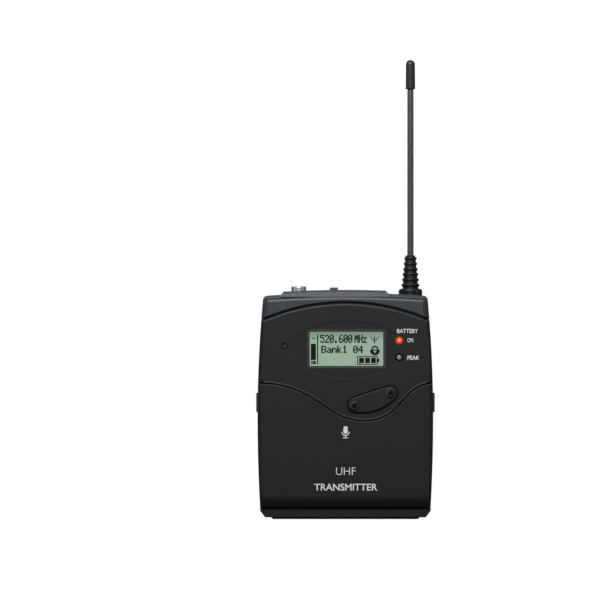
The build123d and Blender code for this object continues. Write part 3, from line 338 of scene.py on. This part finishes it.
# Painted light: the red glow that the lit indicator throws on the wall of its hole.
RED_GLOW = glow("red_glow", (0.20, 0.006, 0.003), (0.28, 0.010, 0.005), 1.0)
MARK = moulded("mark_ink", (0.0035, 0.0035, 0.0036), 0.6, sockets={"Specular IOR Level": 0.12})
SEAL = rubber("seal_rubber", (0.004, 0.004, 0.004), 0.7)
# A painted highlight: the light crescent on each boss of the rocker key.
CRESCENT_HIGHLIGHT = moulded("key_crescent_highlight", (0.050, 0.050, 0.052), 0.45, mottle=0.08)
BOOT = rubber("boot_rubber", (0.005, 0.005, 0.005), 0.34)
SHEATH = moulded(
    "whip_sheath",
    (0.04, 0.04, 0.041),
    0.34,
    grain_mm=0.4,
    depth_mm=0.006,
    sockets={"Specular IOR Level": 0.9},
)
TIP = moulded("tip_plastic", (0.012, 0.012, 0.013), 0.36)
NICKEL = metal("turned_nickel", (0.72, 0.71, 0.69), 0.42, stretch=(0.2, 0.2, 8), grain_mm=0.3)
STEEL = metal("bright_steel", (0.56, 0.56, 0.57), 0.28, stretch=(0.2, 1, 1))
SCREW = metal("black_zinc", (0.1, 0.1, 0.105), 0.38)
WIRE = metal("black_chrome_wire", (0.09, 0.09, 0.095), 0.3, stretch=(1, 1, 0.15), grain_mm=0.3)
GOLD = metal("gold_plate", (0.83, 0.6, 0.2), 0.25)
BRASS = metal("turned_brass", (0.72, 0.52, 0.22), 0.26, stretch=(0.2, 0.2, 8))
TIN = metal("tinned_sheet", (0.63, 0.63, 0.6), 0.35)
ALUMINIUM = metal("drawn_aluminium", (0.7, 0.7, 0.72), 0.3)
WHITE_INK = ink("white_ink", (0.8, 0.8, 0.8))
LCD_INK = display_ink("lcd_ink")
LCD_GREEN = display_green("display_green")
CHIP = moulded("chip_epoxy", (0.02, 0.02, 0.021), 0.5, grain_mm=0.1)
IVORY = moulded("connector_nylon", (0.6, 0.56, 0.46), 0.45)
DIFFUSER = moulded("light_guide", (0.75, 0.77, 0.74), 0.4)
INFRARED = moulded("infrared_filter", (0.0115, 0.0098, 0.0105), 0.42, sockets={"Coat Weight": 0.1})
SLEEVE = moulded("sleeve_plastic", (0.002, 0.002, 0.002), 0.7, sockets={"Specular IOR Level": 0.08})
LED_WHITE = moulded("led_ceramic", (0.6, 0.6, 0.5), 0.5)

FINISHES = {
    "rear_shell": CASE,
    "front_shell": CASE,
    "battery_door": DOOR,
    "top_cap": CAP,
    "display_bezel": BEZEL,
    "display_lens": clear_window("clear_window"),
    "lcd_glass": LCD_GREEN,
    "lcd_frame": TIN,
    "lcd_backlight": DIFFUSER,
    "light_pipe_power": lamp_lens(
        "lit_red_lens", "light_pipe_power", (1.0, 0.25, 0.025), (0.50, 0.020, 0.006), 0.75
    ),
    "light_pipe_peak": lamp_lens(
        "unlit_lens", "light_pipe_peak", (0.26, 0.26, 0.26), (0.22, 0.22, 0.22), 0.0
    ),
    "light_pipe_sleeves": SLEEVE,
    "indicator_leds": LED_WHITE,
    "infrared_window": INFRARED,
    "rocker_key": KEY,
    "rocker_pivot_pin": STEEL,
    "rocker_switches": CHIP,
    "set_key": KEY,
    "power_key": KEY,
    "key_switches": CHIP,
    "front_board": board("solder_mask_front"),
    "main_board": board("solder_mask_main"),
    "shield_can": TIN,
    "board_chips": CHIP,
    "board_capacitors": ALUMINIUM,
    "board_connector": IVORY,
    "jack_collar": NICKEL,
    "jack_body": TRAY,
    "mute_knob": TIP,
    "mute_switch": TRAY,
    "antenna_boot": BOOT,
    "antenna_whip": SHEATH,
    "antenna_tip": TIP,
    "antenna_ferrule": BRASS,
    "antenna_feed": GOLD,
    "battery_tray": TRAY,
    "battery_cell_upper": cell_sleeve("cell_sleeve_upper", 1),
    "battery_cell_lower": cell_sleeve("cell_sleeve_lower", -1),
    "battery_spring_upper": STEEL,
    "battery_spring_lower": STEEL,
    "contact_plates": TIN,
    "charging_contacts": GOLD,
    "hinge_pin": STEEL,
    "catch_right": TIP,
    "catch_left": TIP,
    "catch_spring_right": STEEL,
    "catch_spring_left": STEEL,
    "belt_clip": WIRE,
    "rear_label": foil_label("label_foil"),
    "case_screws": SCREW,
}


def finish_cad_nodes():
    """Gives each CAD node its finish, on the object and not on the mesh."""
    for name, material in FINISHES.items():
        for material_slot in nodes[name].material_slots:
            material_slot.link = "OBJECT"
            material_slot.material = material


# ---------------------------------------------------------------- mesh helpers


def piece(name, bm, body, material):
    """A mesh as an object that rides on a body."""
    bmesh.ops.recalc_face_normals(bm, faces=bm.faces)
    mesh = bpy.data.meshes.new(name)
    bm.to_mesh(mesh)
    bm.free()
    obj = bpy.data.objects.new(name, mesh)
    bpy.context.scene.collection.objects.link(obj)
    mesh.materials.append(material)
    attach(obj, body)
    return obj


def add_plate(bm, outline, y, thickness):
    """A thin plate facing the front, from a front-view outline in metres."""
    back = [bm.verts.new((x, y, z)) for x, z in outline]
    front = [bm.verts.new((x, y - thickness, z)) for x, z in outline]
    bm.faces.new(back)
    bm.faces.new(reversed(front))
    for i in range(len(outline)):
        j = (i + 1) % len(outline)
        bm.faces.new((back[i], front[i], front[j], back[j]))


def box_outline(x0, z0, x1, z1):
    """A rectangle's corners."""
    return [(x0, z0), (x1, z0), (x1, z1), (x0, z1)]


def arc_outline(cx, cz, r, start, end, steps=16):
    """Points along an arc in front view, in degrees."""
    angles = [math.radians(start + (end - start) * i / steps) for i in range(steps + 1)]
    return [(cx + r * math.cos(a), cz + r * math.sin(a)) for a in angles]


def band_outline(cx, cz, inner, outer, start, end, steps=16):
    """The outline of a curved band."""
    there = arc_outline(cx, cz, outer, start, end, steps)
    back = arc_outline(cx, cz, inner, end, start, steps)
    return there + back


def oval_outline(cx, cz, half_width, half_height):
    """Points of an ellipse in front view."""
    steps = 120
    angles = [2 * math.pi * i / steps for i in range(steps)]
    return [(cx + half_width * math.cos(a), cz + half_height * math.sin(a)) for a in angles]


def rounded_outline(x, z, radius):
    """A rectangle with rounded corners, from (low, high) pairs in metres."""
    points = []
    for cx, cz, start in (
        (x[1] - radius, z[0] + radius, -90),
        (x[1] - radius, z[1] - radius, 0),
        (x[0] + radius, z[1] - radius, 90),
        (x[0] + radius, z[0] + radius, 180),
    ):
        points += arc_outline(cx, cz, radius, start, start + 90, steps=6)
    return points


def ring_piece(name, outer, inner, y, thickness, material):
    """A flat ring on the case, facing the front, between two outlines of as many points."""
    bm = bmesh.new()
    layers = []
    for depth in (y, y - thickness):
        for outline in (outer, inner):
            layers.append([bm.verts.new((px, depth, pz)) for px, pz in outline])
    back_out, back_in, front_out, front_in = layers
    walls = (
        (back_out, back_in),
        (front_in, front_out),
        (back_in, front_in),
        (front_out, back_out),
    )
    for one, other in walls:
        for i in range(len(one)):
            j = (i + 1) % len(one)
            bm.faces.new((one[i], one[j], other[j], other[i]))
    return piece(name, bm, "root", material)


def lettering(name, words, centre, height, width, weight, body):
    """Words printed on the front, fitted to a cap height and a width about a centre in X and Z."""
    curve = bpy.data.curves.new(name, "FONT")
    curve.body = words
    curve.offset = weight
    curve.extrude = 0.5  # any depth does, because the print's own is set below
    curve.resolution_u = 6
    maker = bpy.data.objects.new(name + "_maker", curve)
    bpy.context.scene.collection.objects.link(maker)
    bpy.context.view_layer.update()
    mesh = bpy.data.meshes.new_from_object(maker)
    bpy.data.objects.remove(maker)
    bm = bmesh.new()
    bm.from_mesh(mesh)
    bpy.data.meshes.remove(mesh)
    bmesh.ops.remove_doubles(bm, verts=bm.verts, dist=1e-5)
    low = Vector([min(v.co[i] for v in bm.verts) for i in range(3)])
    high = Vector([max(v.co[i] for v in bm.verts) for i in range(3)])
    size = high - low
    for v in bm.verts:
        across = (v.co - low).x / size.x - 0.5
        up = (v.co - low).y / size.y - 0.5
        proud = (v.co - low).z / size.z
        v.co = (centre[0] + across * width, FRONT_Y - proud * PRINT, centre[1] + up * height)
    return piece(name, bm, body, WHITE_INK)


# ---------------------------------------------------------------- the display's picture

# Dot patterns, five wide and seven high, one string for each row.
GLYPHS = {
    "0": ".###. #...# #..## #.#.# ##..# #...# .###.",
    "1": "..#.. .##.. ..#.. ..#.. ..#.. ..#.. .###.",
    "2": ".###. #...# ....# ...#. ..#.. .#... #####",
    "4": "...#. ..##. .#.#. #..#. ##### ...#. ...#.",
    "5": "##### #.... ####. ....# ....# #...# .###.",
    "6": "..##. .#... #.... ####. #...# #...# .###.",
    ".": "..... ..... ..... ..... ..... .##.. .##..",
    "M": "#...# ##.## #.#.# #.#.# #...# #...# #...#",
    "H": "#...# #...# #...# ##### #...# #...# #...#",
    "z": "..... ..... ##### ...#. ..#.. .#... #####",
    "B": "####. #...# #...# ####. #...# #...# ####.",
    "a": "..... ..... .###. ....# .#### #...# .####",
    "n": "..... ..... #.##. ##..# #...# #...# #...#",
    "k": "#.... #.... #..#. #.#.. ##... #.#.. #..#.",
    " ": "..... ..... ..... ..... ..... ..... .....",
}
# The same, three wide and five high.
SMALL_GLYPHS = {"I": "### .#. .#. .#. ###", "N": "#.# ### ### ### #.#"}


def add_dots(bm, rows, x, z, dot_w, dot_h):
    """Dots of one character, swollen sideways and upwards; x and z are its top left corner."""
    swell = 0.1 * MM
    for j, row in enumerate(rows):
        for i, mark in enumerate(row):
            if mark == "#":
                left, top = x + i * dot_w, z - j * dot_h
                right, bottom = left + dot_w, top - dot_h
                outline = box_outline(left - swell, bottom, right + swell, top + swell / 2)
                add_plate(bm, outline, PICTURE_Y, PRINT)


def display_line(name, words, x, z, glyphs=GLYPHS):
    """Dot characters that fill a box, given as (low, high) pairs in millimetres."""
    letters = [glyphs[letter].split() for letter in words]
    tall, wide = len(letters[0]), len(letters[0][0])
    pitch = wide + 1  # in dots: one column stays empty between two characters
    dot_w = (x[1] - x[0]) * MM / (len(words) * pitch - 1)
    dot_h = (z[1] - z[0]) * MM / tall
    bm = bmesh.new()
    for i, rows in enumerate(letters):
        add_dots(bm, rows, x[0] * MM + i * pitch * dot_w, z[1] * MM, dot_w, dot_h)
    return piece(name, bm, "root", LCD_INK)


def display_shape(name, outlines, thickness=PRINT, material=LCD_INK):
    """A symbol of the display, from its outlines."""
    bm = bmesh.new()
    for outline in outlines:
        add_plate(bm, outline, PICTURE_Y, thickness)
    return piece(name, bm, "root", material)


def display_picture():
    """What the lit display shows: a level bar, the frequency, the channel and three symbols."""
    display_line("lcd_frequency", "520.600", (-9.0, 2.4), (63.2, 66.1))
    display_line("lcd_unit", "MHz", (3.3, 7.6), (63.2, 66.1))
    display_line("lcd_channel", "Bank1 04", (-8.6, 6.3), (59.6, 62.2))
    display_line("lcd_level_name", "IN", (-12.35, -10.75), (55.6, 56.7), SMALL_GLYPHS)
    # The level's dividing line, its bar and the dash above the bar.
    level = [
        box_outline(-10.2 * MM, 55.5 * MM, -9.82 * MM, 66.3 * MM),
        box_outline(-12.4 * MM, 57.1 * MM, -10.6 * MM, 62.9 * MM),
        box_outline(-12.0 * MM, 64.7 * MM, -10.9 * MM, 65.1 * MM),
    ]
    display_shape("lcd_level_bar", level)
    display_shape("lcd_aerial_symbol", aerial_symbol(10.43 * MM, 63.0 * MM))
    lock = (10.55 * MM, 60.55 * MM)
    display_shape("lcd_padlock_symbol", padlock_symbol(*lock))
    display_shape("lcd_padlock_keyhole", [keyhole_outline(*lock)], 1.5 * PRINT, LCD_GREEN)
    display_shape("lcd_battery_symbol", battery_symbol())


def aerial_symbol(x, z):
    """A mast with two arms."""
    half_mast, fork, top = 0.19 * MM, z + 0.95 * MM, z + 2.5 * MM
    shapes = [box_outline(x - half_mast, z, x + half_mast, top)]
    for side in (-1, 1):
        foot_x, tip_x = x + side * half_mast, x + side * 1.3 * MM
        outer_foot_x, outer_tip_x = foot_x + side * 0.42 * MM, tip_x + side * 0.3 * MM
        arm = [(foot_x, fork), (outer_foot_x, fork), (outer_tip_x, top), (tip_x, top)]
        shapes.append(arm if side > 0 else arm[::-1])
    return shapes


def padlock_symbol(x, z):
    """A round padlock: a body cut off level at its top, and the shackle that rises from it."""
    body_radius, body_drop, cut = 1.74 * MM, 0.05 * MM, 12  # cut off that many degrees above level
    shackle_inner, shackle_outer, shackle_rise = 0.68 * MM, 1.26 * MM, 0.42 * MM
    body = arc_outline(x, z - body_drop, body_radius, 180 - cut, 360 + cut, 40)
    shackle = band_outline(x, z + shackle_rise, shackle_inner, shackle_outer, 0, 180, 24)
    return [body, shackle]


def keyhole_outline(x, z):
    """The padlock's keyhole, a small triangle that points down."""
    half_width, top, foot = 0.6 * MM, z - 0.1 * MM, z - 1.1 * MM
    return [(x - half_width, top), (x, foot), (x + half_width, top)]


def battery_symbol():
    """A cell outline with three full blocks."""
    x0, x1 = 4.2 * MM, 11.5 * MM
    z0, z1 = 55.4 * MM, 58.5 * MM
    line = 0.32 * MM
    terminal, terminal_inset = 0.6 * MM, 0.9 * MM
    shapes = [
        box_outline(x0, z0, x1, z0 + line),
        box_outline(x0, z1 - line, x1, z1),
        box_outline(x0, z0 + line, x0 + line, z1 - line),
        box_outline(x1 - line, z0 + line, x1, z1 - line),
        box_outline(x1, z0 + terminal_inset, x1 + terminal, z1 - terminal_inset),
    ]
    margin_x, margin_z, block, pitch = 0.68 * MM, 0.6 * MM, 1.74 * MM, 2.15 * MM
    for i in range(3):
        left = x0 + margin_x + i * pitch
        shapes.append(box_outline(left, z0 + margin_z, left + block, z1 - margin_z))
    return shapes


# ---------------------------------------------------------------- printed legends and marks


def front_legends():
    """The words beside the indicators and on the battery door."""
    # Each has its centre in x and z, its height and its width in millimetres, and its strokes' weight.
    legends = [
        ("legend_battery", "BATTERY", (22.2, 67.5), 1.45, 7.5, 0.016, "root"),
        ("legend_on", "ON", (23.15, 64.2), 1.5, 2.05, 0.016, "root"),
        ("legend_peak", "PEAK", (24.3, 57.95), 1.5, 4.3, 0.016, "root"),
        ("legend_band", "UHF", (0.1, 17.3), 2.7, 7.0, -0.012, "door"),
        ("legend_transmitter", "TRANSMITTER", (0.1, 11.6), 2.5, 22.6, 0.016, "door"),
    ]
    for name, words, (x, z), height, width, weight, body in legends:
        lettering(name, words, (x * MM, z * MM), height * MM, width * MM, weight, body)


def microphone_mark():
    """A plain microphone pictogram on the door: capsule, yoke, stem and foot."""
    x, z = 0.0, 31.9 * MM
    upper, lower = z + 0.75 * MM, z - 0.45 * MM  # centres of the capsule's two round ends
    radius, yoke_inner, yoke_outer = 0.78 * MM, 1.2 * MM, 1.5 * MM
    half_stem, half_foot = 0.15 * MM, 0.9 * MM
    stem_top, stem_bottom, foot_bottom = z - 1.93 * MM, z - 2.5 * MM, z - 2.8 * MM
    outlines = [
        arc_outline(x, upper, radius, 0, 180) + arc_outline(x, lower, radius, 180, 360),
        band_outline(x, lower, yoke_inner, yoke_outer, 180, 360),
        box_outline(x - half_stem, stem_bottom, x + half_stem, stem_top),
        box_outline(x - half_foot, foot_bottom, x + half_foot, stem_bottom),
    ]
    bm = bmesh.new()
    for outline in outlines:
        add_plate(bm, outline, FRONT_Y, PRINT)
    piece("legend_microphone", bm, "door", WHITE_INK)


def lens_outline(inset_mm, radius_mm):
    """A rounded rectangle that far inside the edge of the display's window."""
    low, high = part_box("display_lens")
    x = (low.x + inset_mm * MM, high.x - inset_mm * MM)
    z = (low.z + inset_mm * MM, high.z - inset_mm * MM)
    return rounded_outline(x, z, radius_mm * MM)


def display_window_highlight():
    """A painted highlight: a light ring round the display's opening, where the window's edge catches
    light.
    """
    outer, inner = lens_outline(0.22, 1.0), lens_outline(0.53, 0.7)
    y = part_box("display_bezel")[0].y
    ring_piece("display_window_highlight", outer, inner, y, 0.04 * MM, WINDOW_HIGHLIGHT)


def display_rim():
    """The dark edge of the display, seen inside the painted highlight ring."""
    outer, inner = lens_outline(0.5, 0.7), lens_outline(0.95, 0.3)
    ring_piece("display_rim", outer, inner, PICTURE_Y, PRINT, LCD_INK)


def bezel_edge_highlight():
    """A painted highlight, a light line along the bezel's lower edge: a ring that is a hair wide at the
    top.
    """
    low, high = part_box("display_bezel")
    middle = middle_of("display_bezel")
    half_width, half_height = (high.x - low.x) / 2, (high.z - low.z) / 2
    inset, drop = 0.10 * MM, 0.08 * MM
    outer_width, outer_height = half_width - 0.02 * MM, half_height - 0.01 * MM
    inner = oval_outline(middle.x, middle.z, half_width - inset, half_height - inset)
    outer = oval_outline(middle.x, middle.z - drop, outer_width, outer_height)
    ring_piece("bezel_edge_highlight", outer, inner, low.y, 0.02 * MM, EDGE)


def joint_seals():
    """A black seal in each side wall, in the fine joint between the cap and the rear shell."""
    radius, bottom = 74.4 * MM, 3.4 * MM  # the joint's arc and the height of its centre
    wall = (28.2 * MM, 30.0 * MM)  # how far out the side wall's two faces are
    half_height, half_depth = 0.075 * MM, 1.0 * MM
    for name, side in (("joint_seal_left", -1), ("joint_seal_right", 1)):
        bm = bmesh.new()
        start, end = sorted(math.degrees(math.acos(side * x / radius)) for x in wall)
        lower, upper = radius - half_height, radius + half_height
        outline = band_outline(0, bottom, lower, upper, start, end, 4)
        add_plate(bm, outline, half_depth, 2 * half_depth)
        piece(name, bm, "root", SEAL)


def indicator_glow():
    """Painted light: a red ring that glows on the wall of the indicator's hole, for the light the lit
    indicator throws there.
    """
    middle = middle_of("light_pipe_power")
    radii = (1.46 * MM, 1.0 * MM)
    outer, inner = [arc_outline(middle.x, middle.z, r, 0, 360, 40)[:-1] for r in radii]
    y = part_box("light_pipe_sleeves")[0].y
    ring_piece("indicator_glow", outer, inner, y, 0.05 * MM, RED_GLOW)


# The rocker key's two ends: the way the arrow points, then the arrow's and the painted highlight
# crescent's middle in x and z, in millimetres.
ROCKER_ENDS = {
    "down": (-1, (3.15, 40.55), (3.2, 40.8)),
    "up": (1, (16.15, 45.45), (16.05, 45.4)),
}


def rocker_marks():
    """An arrow printed on each of the rocker key's two round bosses."""
    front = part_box("rocker_key")[0].y
    half_width, behind, ahead = 1.25 * MM, 0.85 * MM, 1.25 * MM
    for end, (way, (x, z), _) in ROCKER_ENDS.items():
        cx, cz = x * MM, z * MM
        base, tip = cz - way * behind, cz + way * ahead
        bm = bmesh.new()
        outline = [(cx - half_width, base), (cx + half_width, base), (cx, tip)]
        add_plate(bm, outline, front, PRINT)
        piece("rocker_mark_" + end, bm, "rocker", MARK)


def rocker_crescents():
    """A painted highlight: a light crescent at the upper left of each boss on the rocker key, for its
    lit rounded edge.
    """
    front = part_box("rocker_key")[0].y
    outer_radius, inner_radius = 1.42 * MM, 1.38 * MM
    shift_x, shift_z = 0.32 * MM, -0.22 * MM  # of the inner arc, which makes the ends thin
    start, end = 62, 232
    for name, (_, _, (x, z)) in ROCKER_ENDS.items():
        cx, cz = x * MM, z * MM
        outer = arc_outline(cx, cz, outer_radius, start, end, 24)
        inner = arc_outline(cx + shift_x, cz + shift_z, inner_radius, end, start, 24)
        bm = bmesh.new()
        add_plate(bm, outer + inner[1:-1], front, 0.5 * PRINT)
        piece("rocker_crescent_" + name, bm, "rocker", CRESCENT_HIGHLIGHT)


# ---------------------------------------------------------------- springs


def catch_springs():
    """Each catch's coil spring, as a steel copy of its CAD mesh that rides on the root."""
    # The second number is the end towards the middle: the low X end on the right, the high on the left.
    for side, fixed_end in (("right", 0), ("left", 1)):
        node = nodes["catch_spring_" + side]
        obj = bpy.data.objects.new("pressed_spring_" + side, node.data.copy())
        bpy.context.scene.collection.objects.link(obj)
        obj.matrix_world = node.matrix_world
        obj.data.materials.clear()
        obj.data.materials.append(STEEL)
        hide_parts(node.name)
        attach(obj, "root")
        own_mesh(obj)


# ---------------------------------------------------------------- studio

FLOOR_RADIUS = 40  # far past all that the camera sees
WORLD_LIGHT = 0.06  # what the world gives to everything but the camera, which sees it white
AIM = (0, 0, 0.05)  # the point that every light faces
SOFTBOXES = [  # name, place, width and height, watts
    ("key_softbox", (-0.03, -0.24, 0.34), (0.28, 0.16), 1.5),
    ("front_softbox", (-0.02, -0.9, 0.2), (0.14, 0.24), 0.58),
    ("top_softbox", (0, 0, 0.6), (0.5, 0.4), 0.35),
    ("left_strip", (-0.5, -0.2, 0.14), (0.12, 0.5), 0.34),
    ("right_strip", (0.5, -0.2, 0.14), (0.12, 0.5), 0.28),
    ("back_softbox", (0, 0.8, 0.25), (0.6, 0.3), 2.2),
]


def floor():
    """A dark grey floor that runs far out on every side, and that the camera sees as white."""
    material, tree, shader = new_material("floor_paper", {"Roughness": 0.9})
    tone = blend_colours(tree, noise(tree, 900, detail=1), (0.05, 0.05, 0.05), (0.06, 0.06, 0.06))
    put(tree, shader, Base_Color=tone)
    white = add(tree, "ShaderNodeEmission", {"Color": (1, 1, 1, 1)}).outputs[0]
    seen = add(tree, "ShaderNodeLightPath").outputs["Is Camera Ray"]
    mixed = mix_shaders(tree, seen, shader.outputs[0], white)
    tree.links.new(mixed, tree.nodes["Material Output"].inputs["Surface"])
    bm = bmesh.new()
    bmesh.ops.create_circle(bm, cap_ends=True, radius=FLOOR_RADIUS, segments=64)
    mesh = bpy.data.meshes.new("floor")
    bm.to_mesh(mesh)
    bm.free()
    obj = bpy.data.objects.new("floor", mesh)
    bpy.context.scene.collection.objects.link(obj)
    mesh.materials.append(material)


def softbox(name, spot, size, power):
    """A rectangular light that the camera doesn't see."""
    light = bpy.data.lights.new(name, "AREA")
    light.shape = "RECTANGLE"
    light.size, light.size_y = size
    light.energy = power
    obj = bpy.data.objects.new(name, light)
    bpy.context.scene.collection.objects.link(obj)
    obj.location = spot
    obj.rotation_euler = (Vector(AIM) - Vector(spot)).to_track_quat("-Z", "Y").to_euler()
    obj.visible_camera = False


def studio():
    """The floor, the lights and a white world."""
    floor()
    for row in SOFTBOXES:
        softbox(*row)
    world = bpy.data.worlds.new("studio")
    bpy.context.scene.world = world
    world.use_nodes = True
    tree = world.node_tree
    background = tree.nodes["Background"]
    background.inputs["Color"].default_value = (1, 1, 1, 1)
    seen = add(tree, "ShaderNodeLightPath").outputs["Is Camera Ray"]
    tree.links.new(spread(tree, seen, WORLD_LIGHT, 1.0), background.inputs["Strength"])
    bpy.context.scene.view_settings.view_transform = "Standard"


def camera():
    """A long lens, level with the middle of the picture, square to the front."""
    picture_width = 214.8 * MM
    picture_x, picture_z = -16.3 * MM, 78.6 * MM  # its middle, in the plane of the front panel
    lens, sensor = 250.0, 36.0
    data = bpy.data.cameras.new("camera")
    data.lens = lens
    data.sensor_width = sensor
    data.clip_start = 0.01
    data.clip_end = 100
    obj = bpy.data.objects.new("camera", data)
    bpy.context.scene.collection.objects.link(obj)
    distance = picture_width * lens / sensor
    obj.location = (picture_x, FRONT_Y - distance, picture_z)
    obj.rotation_euler = (math.radians(90), 0, 0)
    bpy.context.scene.camera = obj


# ---------------------------------------------------------------- build

camera()
studio()
finish_cad_nodes()
display_picture()
front_legends()
microphone_mark()
display_window_highlight()
display_rim()
bezel_edge_highlight()
joint_seals()
indicator_glow()
rocker_marks()
rocker_crescents()
catch_springs()
